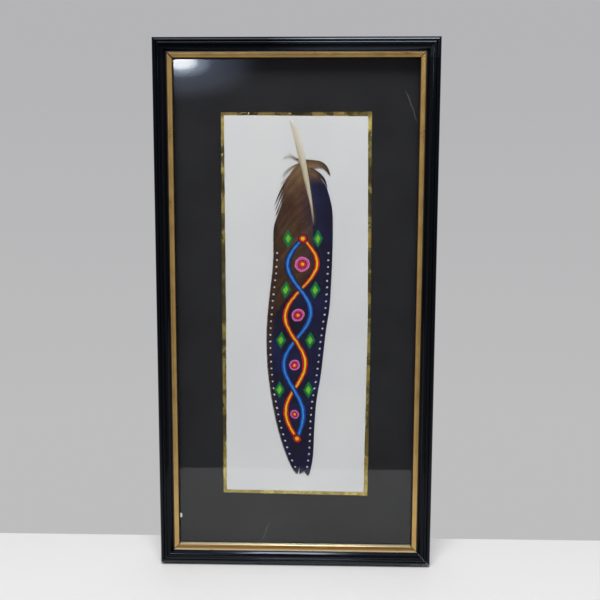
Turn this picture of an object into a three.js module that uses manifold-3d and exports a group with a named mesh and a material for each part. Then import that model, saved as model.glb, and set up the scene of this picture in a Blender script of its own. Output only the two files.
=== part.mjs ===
// Framed turkey wing feather: a painted flight feather on a white card, behind glass in a mitred moulding.
// Millimetres, +Z up, the front faces -Y. The origin is the hanging point on the back of the top rail.
// Inside the group, x runs from the middle, z from the underside of the frame, and y is the depth behind
// the foremost bead of the moulding.

import * as THREE from 'three';
import { mergeVertices } from 'three/addons/utils/BufferGeometryUtils.js';
import Module from 'manifold-3d';

const wasm = await Module();
wasm.setup();

// Driving dimensions: a standard 10 by 20 inch pane and the moulding round it
const INCH = 25.4;
const GLASS_WIDTH = 10 * INCH;
const GLASS_HEIGHT = 20 * INCH;
const GLASS_THICKNESS = 2;
const RAIL_WIDTH = 20;
const RAIL_DEPTH = 23;
const LIP_OVERLAP = 6.5;
const LIP_BACK = 8;
const REBATE_PLAY = 0.5;
const LAYER_GAP = 0.25;
const MITRE_GAP = 0.2;
const MOULDING_STEPS = 5;

const REBATE = RAIL_WIDTH - LIP_OVERLAP;
const OUTER_WIDTH = GLASS_WIDTH + 2 * (REBATE_PLAY + REBATE);
const OUTER_HEIGHT = GLASS_HEIGHT + 2 * (REBATE_PLAY + REBATE);
const HALF_WIDTH = OUTER_WIDTH / 2;
const HALF_HEIGHT = OUTER_HEIGHT / 2;

// Layers behind the lip, each given by the depth of its front face
const SPACER_WIDTH = 5;
const SPACER_THICKNESS = 5.5;
const MAT_THICKNESS = 1.5;
const BACKING_THICKNESS = 3;
const GLASS_FRONT = LIP_BACK + LAYER_GAP;
const SPACER_FRONT = GLASS_FRONT + GLASS_THICKNESS + LAYER_GAP;
const MAT_FRONT = SPACER_FRONT + SPACER_THICKNESS + LAYER_GAP;
const BACKING_FRONT = MAT_FRONT + MAT_THICKNESS + LAYER_GAP;
const POINT_FRONT = BACKING_FRONT + BACKING_THICKNESS + LAYER_GAP;

// Cards cut by hand and laid on the mat, each long edge in two strokes: corners in x and z from the top left
const GOLD_CORNERS = [[-76.2, 466.5], [75.4, 467.2], [76.9, 260], [75.9, 69], [-76, 70.9], [-76.4, 260]];
const GOLD_THICKNESS = 0.5;
const WHITE_CORNERS = [[-72.1, 462.5], [71.6, 461.5], [73.8, 260], [71.6, 74.8], [-72.3, 76], [-71.6, 260]];
const WHITE_THICKNESS = 1;
const GOLD_FRONT = MAT_FRONT - LAYER_GAP - GOLD_THICKNESS;
const WHITE_FRONT = GOLD_FRONT - LAYER_GAP - WHITE_THICKNESS;

// Glazier's points, driven half into the rebate
const POINT_LENGTH = 12;
const POINT_WIDTH = 8;
const POINT_THICKNESS = 0.6;
const POINT_BITE = 5;
const POINT_TIP_SHARE = 0.25;
const POINT_CLEARANCE = 0.3;
const POINT_SPREAD = 150;

// Sawtooth hanger on the back of the top rail
const HANGER_DROP = 10;
const HANGER_HALF = 22;
const HANGER_BRIDGE = 12;
const HANGER_HEIGHT = 7;
const HANGER_SHEET = 0.8;
const HANGER_RISE = 1.4;
const TOOTH_PITCH = 2.4;
const TOOTH_DEPTH = 1.6;
const TOOTH_COUNT = 9;
const NAIL_INSET = 4;
const NAIL_RADIUS = 0.7;
const NAIL_LENGTH = 8;
const NAIL_TIP = 1;
const NAIL_HEAD_RADIUS = 1.9;
const NAIL_CROWN_RADIUS = 1.5;
const NAIL_RIM = 0.55;
const NAIL_HEAD = 0.8;
const NAIL_CLEARANCE = 0.3;
const NAIL_SIDES = 12;
const HANG_HEIGHT = OUTER_HEIGHT - HANGER_DROP;

// Feather, quill end up: x from the frame's middle, z from its underside, seen from the front
const FEATHER_BASE = WHITE_FRONT - LAYER_GAP;
const VANE_THICKNESS = 0.5;
const SHAFT_PATH = [
  [-5.1, 458], [2, 437.6], [6, 418.8], [11.8, 392.5], [16.4, 368], [18.8, 335],
  [19.6, 300], [19, 250], [16.5, 200], [13, 149], [9.2, 96.5],
];
// Edges of the two vanes, along the tips of the barbs from the first barb to the tip of the feather
const BROAD_EDGE = [
  [-19.7, 374.5], [-20.4, 363.4], [-22.6, 353], [-23.5, 315], [-28.5, 268], [-30.2, 240],
  [-28.7, 200], [-20.3, 149], [-11.6, 119], [-3.1, 99], [1.9, 93.2], [9, 95.5],
];
const NARROW_EDGE = [
  [31, 391], [33, 385], [36.6, 370], [37.5, 350], [36.5, 304], [34.6, 270], [31, 245],
  [26, 199.5], [21.3, 169.4], [19.4, 139.3], [18.4, 114], [16, 99], [13.2, 91.6], [9.6, 95.5],
];
// Shaft widths, each after its distance from the cut end of the quill
const SHAFT_WIDTHS = [
  [0, 4.5], [8, 6.6], [32, 6.8], [42, 6], [58, 4.8], [75, 3.6], [100, 2.8], [200, 2.2], [370, 0.8],
];
const SHAFT_FLATNESS = 0.46;
// Each vane's first and last barb root, as shares of the shaft, and how far a barb bends from straight
const BROAD_ROOTS = [0.112, 0.87];
const NARROW_ROOTS = [0.128, 0.93];
const BARB_BEND = 0.07;
const VANE_LIFT = 0.55;
const VANE_BOW = 0.7;
const EDGE_LIFT = 0.3;
// Loose locks and wisps at the quill end: path from the shaft outwards, and the width at the root
const LOOSE_LOCKS = [
  { path: [[7, 415], [17.4, 414.7], [24, 414.2], [29.5, 411], [34.3, 403.4]], width: 8 },
  { path: [[8, 411.5], [20, 406.3], [27.5, 400], [31.4, 391.5]], width: 4 },
  { path: [[5, 417.5], [-0.4, 419.5], [-6.6, 422.2], [-14.2, 420.6]], width: 1.2 },
  { path: [[5, 416], [-6.5, 410], [-14.2, 402]], width: 1.6 },
  { path: [[6, 410], [-5, 404], [-13, 396.5]], width: 1.6 },
];
const LOCK_TIP = 0.4;
const LOCK_THICKNESS = 0.7;
const LOCK_ROOT_LIFT = 1.1;
const LOCK_TIP_LIFT = 0.4;
const VANE_ROWS = 44;
const VANE_COLUMNS = 4;
const SHAFT_SIDES = 10;
const SHAFT_RINGS = 40;
const LOCK_STEPS = 8;

const finish = (color, roughness, metalness = 0) =>
  new THREE.MeshStandardMaterial({ color, roughness, metalness });

const lacquer = () => finish(0x121214, 0.3);
const clearGlass = () =>
  new THREE.MeshStandardMaterial({ color: 0xeef2f0, roughness: 0.05, transparent: true, opacity: 0.25 });
const blackCard = () => finish(0x262628, 0.9);
const goldFoil = () => finish(0xc8b45a, 0.2, 1);
const whiteCard = () => finish(0xe6e6e6, 0.9);
const barbs = () => finish(0x2b2433, 0.7);
const hardboard = () => finish(0x6b4a30, 0.85);
const steel = () => finish(0x9a9a9a, 0.4, 1);
const brassPlate = () => finish(0xb08d4a, 0.35, 1);

const group = new THREE.Group();
group.position.set(0, -RAIL_DEPTH, -HANG_HEIGHT);

function addPiece(name, geometry, material) {
  const mesh = new THREE.Mesh(geometry, material);
  mesh.name = name;
  group.add(mesh);
  return mesh;
}

// A closed geometry as a solid for joins and cuts, and back again
function toSolid(geometry) {
  const bare = new THREE.BufferGeometry();
  bare.setAttribute('position', geometry.getAttribute('position').clone());
  if (geometry.index) {
    bare.setIndex(geometry.index.clone());
  }
  const merged = mergeVertices(bare);
  return new wasm.Manifold(new wasm.Mesh({
    numProp: 3,
    vertProperties: Float32Array.from(merged.getAttribute('position').array),
    triVerts: Uint32Array.from(merged.index.array),
  }));
}

function toGeometry(solid) {
  const mesh = solid.getMesh();
  const geometry = new THREE.BufferGeometry();
  geometry.setAttribute('position', new THREE.BufferAttribute(mesh.vertProperties, 3));
  geometry.setIndex(new THREE.BufferAttribute(mesh.triVerts, 1));
  geometry.computeVertexNormals();
  return geometry;
}

// Moves every vertex of a geometry to the place that a function gives for it
function reshape(geometry, place) {
  const position = geometry.getAttribute('position');
  const vertex = new THREE.Vector3();
  for (let index = 0; index < position.count; index += 1) {
    vertex.fromBufferAttribute(position, index);
    const [x, y, z] = place(vertex);
    position.setXYZ(index, x, y, z);
  }
  return geometry;
}

// Box whose front face lies at a given depth, centred on (x, z)
function slab(width, height, front, thickness, x, z) {
  return new THREE.BoxGeometry(width, thickness, height).translate(x, front + thickness / 2, z);
}

// Section of the moulding: distance in from the outer edge against depth behind the foremost bead
function mouldingSection() {
  const section = new THREE.Shape();
  section.moveTo(0, RAIL_DEPTH);
  section.lineTo(0, 3.6);
  section.bezierCurveTo(0, 1.7, 1.7, 0.2, 3.6, 0.2);
  section.bezierCurveTo(4, 0.2, 4.3, 0.6, 4.4, 1.2);
  section.bezierCurveTo(4.6, 0.5, 5.2, 0, 6, 0);
  section.bezierCurveTo(6.8, 0, 7.2, 0.6, 7.3, 1.4);
  section.bezierCurveTo(8, 1.5, 9.8, 1.9, 10.8, 2.4);
  section.lineTo(12.8, 4.1);
  section.bezierCurveTo(13, 4.3, 13.1, 4.6, 13.1, 5);
  section.lineTo(13.5, 5);
  section.bezierCurveTo(13.5, 4.5, 13.9, 4.1, 14.5, 4.1);
  section.bezierCurveTo(15.6, 3.9, 17.2, 4.3, 18.6, 4.9);
  section.bezierCurveTo(19.2, 5.2, 19.5, 5.6, 19.6, 6.2);
  section.lineTo(RAIL_WIDTH, LIP_BACK);
  section.lineTo(REBATE, LIP_BACK);
  section.lineTo(REBATE, RAIL_DEPTH);
  return section;
}

// One mitred length, lying along x with its outer edge on z = 0
function mouldingLength(length) {
  const geometry = new THREE.ExtrudeGeometry(mouldingSection(), {
    depth: length, bevelEnabled: false, curveSegments: MOULDING_STEPS,
  });
  geometry.rotateY(-Math.PI / 2).translate(length / 2, 0, 0);
  return reshape(geometry, ({ x, y, z }) => [Math.sign(x) * (length / 2 - z - MITRE_GAP), y, z]);
}

// Outline of a glazier's point, its tip towards the outer edge of the rail
function pointOutline(clearance) {
  const tip = REBATE - POINT_BITE - clearance;
  const half = POINT_WIDTH / 2 + clearance;
  const tail = tip + POINT_LENGTH + 2 * clearance;
  const outline = new THREE.Shape();
  outline.moveTo(tip, -half * POINT_TIP_SHARE);
  outline.lineTo(tip + POINT_BITE, -half);
  outline.lineTo(tail, -half);
  outline.lineTo(tail, half);
  outline.lineTo(tip + POINT_BITE, half);
  outline.lineTo(tip, half * POINT_TIP_SHARE);
  return outline;
}

function pointPlate(along, clearance) {
  const geometry = new THREE.ExtrudeGeometry(pointOutline(clearance), {
    depth: POINT_THICKNESS + 2 * clearance, bevelEnabled: false,
  });
  geometry.rotateZ(Math.PI / 2).rotateX(Math.PI / 2);
  return geometry.translate(along, POINT_FRONT + POINT_THICKNESS + clearance, 0);
}

function nailHole(x) {
  const hole = new THREE.CylinderGeometry(
    NAIL_RADIUS + NAIL_CLEARANCE, NAIL_RADIUS + NAIL_CLEARANCE, 2 * NAIL_LENGTH, NAIL_SIDES);
  return hole.translate(x, RAIL_DEPTH, HANGER_DROP);
}

const NAIL_SPOTS = [NAIL_INSET - HANGER_HALF, HANGER_HALF - NAIL_INSET];

// Rails: each has its length, its place on the frame, its turn in half circles and where its points sit
const CROSS_POINTS = [0];
const UPRIGHT_POINTS = [-POINT_SPREAD, POINT_SPREAD];
const RAILS = [
  { side: 'bottom', length: OUTER_WIDTH, x: 0, z: 0, turn: 0, points: CROSS_POINTS },
  { side: 'right', length: OUTER_HEIGHT, x: HALF_WIDTH, z: HALF_HEIGHT, turn: -0.5, points: UPRIGHT_POINTS },
  { side: 'top', length: OUTER_WIDTH, x: 0, z: OUTER_HEIGHT, turn: 1, points: CROSS_POINTS },
  { side: 'left', length: OUTER_HEIGHT, x: -HALF_WIDTH, z: HALF_HEIGHT, turn: 0.5, points: UPRIGHT_POINTS },
];

function addRails() {
  let pointNumber = 0;
  for (const { side, length, x, z, turn, points } of RAILS) {
    let solid = toSolid(mouldingLength(length));
    for (const along of points) {
      solid = solid.subtract(toSolid(pointPlate(along, POINT_CLEARANCE)));
      pointNumber += 1;
      const point = addPiece(`point_${pointNumber}`, pointPlate(along, 0), steel());
      point.position.set(x, 0, z);
      point.rotation.y = turn * Math.PI;
    }
    if (side === 'top') {
      for (const spot of NAIL_SPOTS) {
        solid = solid.subtract(toSolid(nailHole(spot)));
      }
    }
    const rail = addPiece(`rail_${side}`, toGeometry(solid), lacquer());
    rail.position.set(x, 0, z);
    rail.rotation.y = turn * Math.PI;
  }
}

function addSpacers() {
  const upright = GLASS_HEIGHT - 2 * (SPACER_WIDTH + LAYER_GAP);
  const sideways = (GLASS_WIDTH - SPACER_WIDTH) / 2;
  const upwards = (GLASS_HEIGHT - SPACER_WIDTH) / 2;
  const strips = [
    ['spacer_bottom', GLASS_WIDTH, SPACER_WIDTH, 0, -upwards],
    ['spacer_top', GLASS_WIDTH, SPACER_WIDTH, 0, upwards],
    ['spacer_left', SPACER_WIDTH, upright, -sideways, 0],
    ['spacer_right', SPACER_WIDTH, upright, sideways, 0],
  ];
  for (const [name, width, height, x, z] of strips) {
    addPiece(name, slab(width, height, SPACER_FRONT, SPACER_THICKNESS, x, HALF_HEIGHT + z), blackCard());
  }
}

function addSheets() {
  const sheet = (front, thickness) => slab(GLASS_WIDTH, GLASS_HEIGHT, front, thickness, 0, HALF_HEIGHT);
  addPiece('glass', sheet(GLASS_FRONT, GLASS_THICKNESS), clearGlass());
  addPiece('black_mat', sheet(MAT_FRONT, MAT_THICKNESS), blackCard());
  addPiece('backing_board', sheet(BACKING_FRONT, BACKING_THICKNESS), hardboard());
}

function addCards() {
  const cards = [
    ['gold_card', GOLD_CORNERS, GOLD_FRONT, GOLD_THICKNESS, goldFoil()],
    ['white_card', WHITE_CORNERS, WHITE_FRONT, WHITE_THICKNESS, whiteCard()],
  ];
  for (const [name, corners, front, thickness, material] of cards) {
    const outline = new THREE.Shape(corners.map(([x, z]) => new THREE.Vector2(x, z)));
    const card = new THREE.ExtrudeGeometry(outline, { depth: thickness, bevelEnabled: false });
    addPiece(name, card.rotateX(Math.PI / 2).translate(0, front + thickness, 0), material);
  }
}

// Smooth curve through points of the feather's own plane
function plan(points) {
  return new THREE.CatmullRomCurve3(points.map(([x, z]) => new THREE.Vector3(x, 0, z)), false, 'centripetal');
}

const shaftCurve = plan(SHAFT_PATH);
const shaftLength = shaftCurve.getLength();

// Width of the shaft at a share of its length
function shaftWidth(along) {
  const distance = along * shaftLength;
  const next = Math.max(1, SHAFT_WIDTHS.findIndex(([place]) => place >= distance));
  const [fromPlace, fromWidth] = SHAFT_WIDTHS[next - 1];
  const [toPlace, toWidth] = SHAFT_WIDTHS[next];
  return THREE.MathUtils.mapLinear(distance, fromPlace, toPlace, fromWidth, toWidth);
}

// One vane: a thin plate of bent barbs from the shaft to the edge; side is -1 left, 1 right
function vane(edgePoints, [firstRoot, lastRoot], side) {
  const edge = plan(edgePoints);
  const plate = new THREE.BoxGeometry(1, 1, 1, VANE_COLUMNS, 1, VANE_ROWS);
  return reshape(plate, ({ x, y, z }) => {
    const across = x + 0.5;
    const share = z + 0.5;
    const along = THREE.MathUtils.lerp(firstRoot, lastRoot, share);
    const root = shaftCurve.getPointAt(along);
    const barb = edge.getPointAt(share).sub(root);
    const arch = Math.sin(Math.PI * across);
    const bend = side * BARB_BEND * arch * (1 - share ** 4);
    const crown = VANE_LIFT * shaftWidth(along) * SHAFT_FLATNESS;
    const lift = THREE.MathUtils.lerp(crown, EDGE_LIFT, across) + VANE_BOW * arch * Math.sin(Math.PI * share);
    return [
      root.x + across * barb.x - bend * barb.z,
      FEATHER_BASE - lift - side * y * VANE_THICKNESS,
      root.z + across * barb.z + bend * barb.x,
    ];
  });
}

// The shaft: an oval tapering rod that lies on the card
function shaft() {
  const rod = new THREE.CylinderGeometry(1, 1, 1, SHAFT_SIDES, SHAFT_RINGS);
  return reshape(rod, ({ x, y, z }) => {
    const along = 0.5 - y;
    const centre = shaftCurve.getPointAt(along);
    const tangent = shaftCurve.getTangentAt(along);
    const half = shaftWidth(along) / 2;
    const height = half * SHAFT_FLATNESS * (1 + z);
    return [centre.x - x * half * tangent.z, FEATHER_BASE - height, centre.z + x * half * tangent.x];
  });
}

// A loose lock: a thin tapering strip along its own curve
function looseLock({ path, width }) {
  const curve = plan(path);
  const strip = new THREE.BoxGeometry(1, 1, 1, 1, 1, LOCK_STEPS);
  return reshape(strip, ({ x, y, z }) => {
    const along = z + 0.5;
    const centre = curve.getPointAt(along);
    const tangent = curve.getTangentAt(along);
    const breadth = THREE.MathUtils.lerp(width, LOCK_TIP, along ** 2);
    const lift = THREE.MathUtils.lerp(LOCK_ROOT_LIFT, LOCK_TIP_LIFT, along);
    return [
      centre.x + x * breadth * tangent.z,
      FEATHER_BASE - lift + y * LOCK_THICKNESS,
      centre.z - x * breadth * tangent.x,
    ];
  });
}

function addFeather() {
  let solid = toSolid(shaft());
  solid = solid.add(toSolid(vane(BROAD_EDGE, BROAD_ROOTS, -1)));
  solid = solid.add(toSolid(vane(NARROW_EDGE, NARROW_ROOTS, 1)));
  for (const lock of LOOSE_LOCKS) {
    solid = solid.add(toSolid(looseLock(lock)));
  }
  addPiece('feather', toGeometry(solid), barbs());
}

// Sawtooth hanger: a strip with a raised middle, notched along its lower edge
function addHanger() {
  const foot = HANGER_BRIDGE + HANGER_RISE;
  const profile = new THREE.Shape();
  profile.moveTo(-HANGER_HALF, 0);
  profile.lineTo(-foot, 0);
  profile.lineTo(-HANGER_BRIDGE, HANGER_RISE);
  profile.lineTo(HANGER_BRIDGE, HANGER_RISE);
  profile.lineTo(foot, 0);
  profile.lineTo(HANGER_HALF, 0);
  profile.lineTo(HANGER_HALF, HANGER_SHEET);
  profile.lineTo(foot, HANGER_SHEET);
  profile.lineTo(HANGER_BRIDGE, HANGER_RISE + HANGER_SHEET);
  profile.lineTo(-HANGER_BRIDGE, HANGER_RISE + HANGER_SHEET);
  profile.lineTo(-foot, HANGER_SHEET);
  profile.lineTo(-HANGER_HALF, HANGER_SHEET);
  const strip = new THREE.ExtrudeGeometry(profile, { depth: HANGER_HEIGHT, bevelEnabled: false });
  const back = RAIL_DEPTH + LAYER_GAP;
  const lowerEdge = HANG_HEIGHT - HANGER_HEIGHT / 2;
  let solid = toSolid(strip.translate(0, back, lowerEdge));
  for (let tooth = 0; tooth < TOOTH_COUNT; tooth += 1) {
    const x = (tooth - (TOOTH_COUNT - 1) / 2) * TOOTH_PITCH;
    const notch = new THREE.CylinderGeometry(TOOTH_PITCH / 2, TOOTH_PITCH / 2, RAIL_DEPTH, 4);
    notch.scale(1, 1, 2 * TOOTH_DEPTH / TOOTH_PITCH);
    solid = solid.subtract(toSolid(notch.translate(x, RAIL_DEPTH, lowerEdge)));
  }
  for (const x of NAIL_SPOTS) {
    solid = solid.subtract(toSolid(nailHole(x).translate(0, 0, HANG_HEIGHT - HANGER_DROP)));
  }
  addPiece('hanger', toGeometry(solid), brassPlate());
}

// A nail through the hanger: shank and low domed head in one turned profile
function addNails() {
  const headBack = RAIL_DEPTH + 2 * LAYER_GAP + HANGER_SHEET;
  const profile = [
    [0, headBack - NAIL_LENGTH],
    [NAIL_RADIUS, headBack - NAIL_LENGTH + NAIL_TIP],
    [NAIL_RADIUS, headBack],
    [NAIL_HEAD_RADIUS, headBack],
    [NAIL_CROWN_RADIUS, headBack + NAIL_RIM],
    [0, headBack + NAIL_HEAD],
  ].map(([radius, y]) => new THREE.Vector2(radius, y));
  ['left', 'right'].forEach((side, index) => {
    const nail = new THREE.LatheGeometry(profile, NAIL_SIDES);
    addPiece(`hanger_nail_${side}`, nail.translate(NAIL_SPOTS[index], 0, HANG_HEIGHT), steel());
  });
}

addRails();
addSheets();
addSpacers();
addCards();
addFeather();
addHanger();
addNails();

export default group;
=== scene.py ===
"""Looks of a framed turkey wing feather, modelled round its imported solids. Metres, the front faces -Y."""
import math

import bpy
import numpy as np
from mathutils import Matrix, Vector


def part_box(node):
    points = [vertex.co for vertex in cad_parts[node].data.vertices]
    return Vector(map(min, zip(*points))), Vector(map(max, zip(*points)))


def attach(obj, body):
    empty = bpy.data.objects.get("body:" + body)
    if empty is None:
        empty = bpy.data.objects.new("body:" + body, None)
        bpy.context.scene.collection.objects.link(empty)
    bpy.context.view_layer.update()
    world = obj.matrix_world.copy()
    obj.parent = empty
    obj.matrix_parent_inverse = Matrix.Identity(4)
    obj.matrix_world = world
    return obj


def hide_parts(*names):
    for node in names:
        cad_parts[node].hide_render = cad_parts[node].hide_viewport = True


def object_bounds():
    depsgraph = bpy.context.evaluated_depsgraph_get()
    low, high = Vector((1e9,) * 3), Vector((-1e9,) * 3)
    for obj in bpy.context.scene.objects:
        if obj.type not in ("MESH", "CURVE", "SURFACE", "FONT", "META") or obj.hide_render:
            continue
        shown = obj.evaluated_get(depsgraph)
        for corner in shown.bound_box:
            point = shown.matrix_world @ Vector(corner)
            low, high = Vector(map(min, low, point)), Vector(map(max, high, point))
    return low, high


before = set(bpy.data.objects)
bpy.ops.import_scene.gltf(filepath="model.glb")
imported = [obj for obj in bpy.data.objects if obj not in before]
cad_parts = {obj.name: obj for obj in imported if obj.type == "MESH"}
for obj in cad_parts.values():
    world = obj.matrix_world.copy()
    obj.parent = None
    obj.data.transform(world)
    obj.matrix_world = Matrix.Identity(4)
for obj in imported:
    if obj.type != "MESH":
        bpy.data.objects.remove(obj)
cad_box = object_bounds()

# Places read from the solids, in metres. The others below are millimetres: x from the middle of the frame,
# z up from its underside, and depth back from the foremost bead of the moulding.
MM = 0.001
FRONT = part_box("rail_top")[0].y
UNDERSIDE = cad_box[0].z
TOP = cad_box[1].z
HALF_WIDTH = cad_box[1].x
HEIGHT = TOP - UNDERSIDE

# Section of the moulding: distance in from the outer edge and depth. A row of one point is a straight line,
# and a row of three is a bend: two handles and the point where it ends.
SECTION_START = (0, 23)
SECTION = [
    [(0, 3.6)],
    [(0, 1.7), (1.7, 0.2), (3.6, 0.2)],
    [(4, 0.2), (4.3, 0.6), (4.4, 1.2)],
    [(4.6, 0.5), (5.2, 0), (6, 0)],
    [(6.8, 0), (7.2, 0.6), (7.3, 1.4)],
    [(8, 1.5), (9.8, 1.9), (10.8, 2.4)],
    [(12.8, 4.1)],
    [(13, 4.3), (13.1, 4.4), (13.1, 4.6)],
    [(13.5, 4.6)],
    [(13.5, 4.3), (13.9, 4.1), (14.5, 4.1)],
    [(15.6, 3.9), (17.2, 4.3), (18.6, 4.9)],
    [(19.2, 5.2), (19.5, 5.6), (19.6, 6.2)],
    [(20, 8)],
    [(13.5, 8)],
    [(13.5, 23)],
]
BEND_STEPS = 8
GILT_FROM = 13.3
LIP_START = 13.5
LIP_END = 20
LIP_BACK = 8
RAIL_BACK = 23
MITRE_GAP = 0.02
MITRE_EASE = 0.2
# Each rail's turn about Y in degrees, and the way it lies from the middle of the frame, across and up
RAILS = {"bottom": (0, 0, -1), "top": (180, 0, 1), "left": (90, -1, 0), "right": (-90, 1, 0)}
# A knock in the arris of the bottom rail, and a pale flake at the foot of the left rail's lip
KNOCK_PLACE = (-30.5, 2.2, 10.7)
KNOCK_SIZE = (2.4, 0.6, 0.8)
KNOCK_ROUGHNESS = 0.1
FLAKE_PLACE = (-119.9, 7.9, 49.6)
FLAKE_SIZE = (2, 0.6, 4.2)
FLAKE_ROUGHNESS = 0.25
POINT_COUNT = 6

# Outlines of the two hand-cut cards: left and right point of the bottom edge, of the bend in the long edges
# and of the top edge
GOLD_ROWS = [((-75.9, 72.3), (75.9, 70.4)), ((-75.8, 260), (76.9, 260)), ((-75.2, 465.5), (75.4, 466.2))]
WHITE_ROWS = [((-72.3, 76), (71.6, 74.8)), ((-71.6, 260), (73.8, 260)), ((-72.1, 462.5), (71.6, 461.5))]
CARD_CUTS = 40
EDGE_WANDER = 0.25
RIPPLE_LENGTH = 22
FOIL_RIPPLE = 0.3
CARD_RIPPLE = 0.1

# Faint scratches on the mount board: middle, turn about Y in degrees and length
SCRATCHES = [((115, 470.6), -21.6, 36), ((-31.4, 30), 21, 26)]

# Feather: the shaft from its cut end down, and the edges that the tips of the barbs reach
SHAFT_PATH = [
    (-5.1, 458), (-0.4, 446.5), (1.7, 437.6), (6.2, 418.8), (11.8, 392.5), (16.4, 368), (18.8, 335),
    (19.6, 300), (19, 250), (16.5, 200), (13, 149), (9.2, 96.5),
]
SHAFT_WIDTHS = [
    (0, 3.6), (4, 5.4), (9, 7), (14, 7.4), (32, 7.3), (48, 7), (61, 5.5), (74, 4.2), (84, 2.9), (98, 2.2),
    (200, 2), (370, 0.8),
]
SHAFT_FLATNESS = 0.46
SHAFT_SIDES = 14
# Even stations of the shaft and the share of its length where they start, and before them those of the
# rounded cut end: share of the length and of the width there
SHAFT_STATIONS = 44
SHAFT_FROM = 0.025
CUT_END = [(0, 0.6), (0.003, 0.88), (0.01, 0.98)]
PAINTED_BELOW = 352
BROAD_EDGE = [
    (-19.7, 374.5), (-20.4, 363.4), (-22.6, 353), (-23.5, 315), (-28.5, 268), (-30.2, 240),
    (-28.7, 200), (-20.3, 149), (-11.6, 119), (-3.1, 99), (1.9, 93.2), (9, 95.5),
]
NARROW_EDGE = [
    (31, 391), (33, 385), (36.6, 370), (37.5, 350), (36.5, 304), (34.6, 270), (31, 245),
    (26, 199.5), (21.3, 169.4), (19.4, 139.3), (18.4, 114), (16, 99), (13.2, 91.6), (9.6, 95.5),
]
BROAD_ROOTS = (0.112, 0.87)
NARROW_ROOTS = (0.128, 0.93)
BARB_BEND = 0.07
VANE_LIFT = 0.55
VANE_BOW = 0.7
EDGE_LIFT = 0.3
FEATHER_DEPTH = 14.0
BARB_COUNT = 760
BARB_STATIONS = 22
BARB_WIDTH = 0.66
BARB_TAPER = 0.2
BARB_RIDGE = 0.11
BARB_SCATTER = 0.12
LINE_POINTS = 400
CURVE_STEPS = 40
# Map of a mesh of barbs: columns, and the part of its own strip that each side of a barb fills
MAP_COLUMNS = 4
STRIP_ENDS = (0.02, 0.98)
STRIP_SIDES = (0.15, 0.85)
# Barbs gather into locks: number of partings, least and further pull to a lock's middle, raggedness
# of tips, and share of a barb's tone that its lock gives
LOCK_PARTINGS = 46
LOCK_PULL = (0.005, 0.02)
TIP_RAGGED = 0.012
LOCK_TONE = 0.6
TONE_WINDOW = 15
# Slits in the broad vane: share of the edge, how far in from the tip, and the opening
SLITS = [(0.012, 0.46, 3.0), (0.026, 0.46, 3.4), (0.041, 0.4, 3.0), (0.17, 0.08, 0.5), (0.978, 0.16, 1.4)]
SLIT_SPREAD = 0.02
# Ground paint: heights where it starts and where it is full, on the narrow vane and close to the shaft, the
# gap that it leaves beside the shaft, a thin wash on the other side, and the broad vane's bare margin
NARROW_COAT = (403, 394)
SHAFT_COAT = (366, 352)
SHAFT_GAP = (1.8, 3.3)
WASH_HEIGHTS = (395, 375)
WASH_BREADTH = 14
WASH_SHARE = 0.5
COAT_RAGGED = (-1.2, 1.3)
RAGGED_WINDOW = 5
MARGIN_FADE = 4
BARE_MARGINS = [(100, 0), (125, 1), (166, 3), (227, 5), (262, 8), (278, 16), (300, 38), (325, 60)]
# Loose locks and wisps at the quill end: path from the shaft outwards, width at the root and at the tip,
# number of strands, tone of the first and the last strand, how bleached the tips are, share of ground paint
LOOSE_LOCKS = [
    ([(7, 415), (17.4, 414.7), (24, 414.2), (29.5, 411), (34.3, 403.4)], 8, 0.4, 48, (0.1, 0.9), 0, 0),
    ([(8, 411.5), (20, 406.3), (27.5, 400), (31.4, 391.5)], 4, 0.4, 26, (0.2, 0.6), 0, 0.8),
    ([(5, 417.5), (-0.4, 419.5), (-6.6, 422.2), (-14.2, 420.6)], 0.8, 1.6, 4, (0.4, 0.6), 1.0, 0),
    ([(5, 416), (-6.5, 410), (-14.2, 402)], 1.2, 3, 7, (0.5, 0.9), 0.9, 0),
    ([(6, 410), (-5, 403.5), (-15.4, 394.4)], 1.6, 3, 7, (0.5, 0.9), 0.8, 0),
    ([(3, 401), (-9, 394), (-17.2, 385)], 1.2, 2.4, 5, (0.5, 0.9), 0.8, 0),
    ([(0, 395), (-11, 387), (-18.4, 378)], 1, 2, 4, (0.5, 0.9), 0.8, 0),
    ([(6, 418), (0, 420.5), (-9, 427)], 0.5, 1.6, 3, (0.4, 0.6), 1.0, 0),
]
LOCK_BARB = 0.42
WISP_BARB = 0.26
LOCK_LIFTS = (1.1, 0.4)
LOCK_RAGGED = 0.12
BLEACH_SHARES = (0.25, 0.875)
SPREAD_JITTER = 0.03
LIFT_JITTER = 0.2
TONE_JITTER = 0.2

# The table is a hair below the frame, whose foot so throws a soft line of shade. Its edges are rounded by a
# share of its size.
TABLE_GAP = 2
TABLE_FRONT = -290
TABLE_BACK = 76.5
TABLE_WIDTH = 3200
TABLE_THICKNESS = 30
TABLE_ROUNDING = 0.003

# The camera stands where the photograph was taken from: metres, degrees, millimetres
CAMERA_PLACE = (0.0222, -0.7715, -0.1628)
CAMERA_TURN = (83.586, -0.161, 1.361)
CAMERA_LENS = 45
CAMERA_SENSOR = 36

# The bright window that the glass mirrors in its top left corner: direction, shape and strength
WINDOW_AIM = (-0.1744, -0.9659, 0.1924)
WINDOW_STRETCH = (0.84, 1.0, 1.75)
WINDOW_STRENGTH = 38.0
# The lamp near the ceiling: metres and watts
SOFTBOX_PLACE = (-0.05, -1.1, 1.45)
SOFTBOX_SIZE = (1.05, 0.8)
SOFTBOX_POWER = 38

random = np.random.default_rng(12)


def place(x, depth, z):
    """A point of the frame in metres, from millimetres across, back and up."""
    return Vector((x * MM, FRONT + depth * MM, UNDERSIDE + z * MM))


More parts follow.
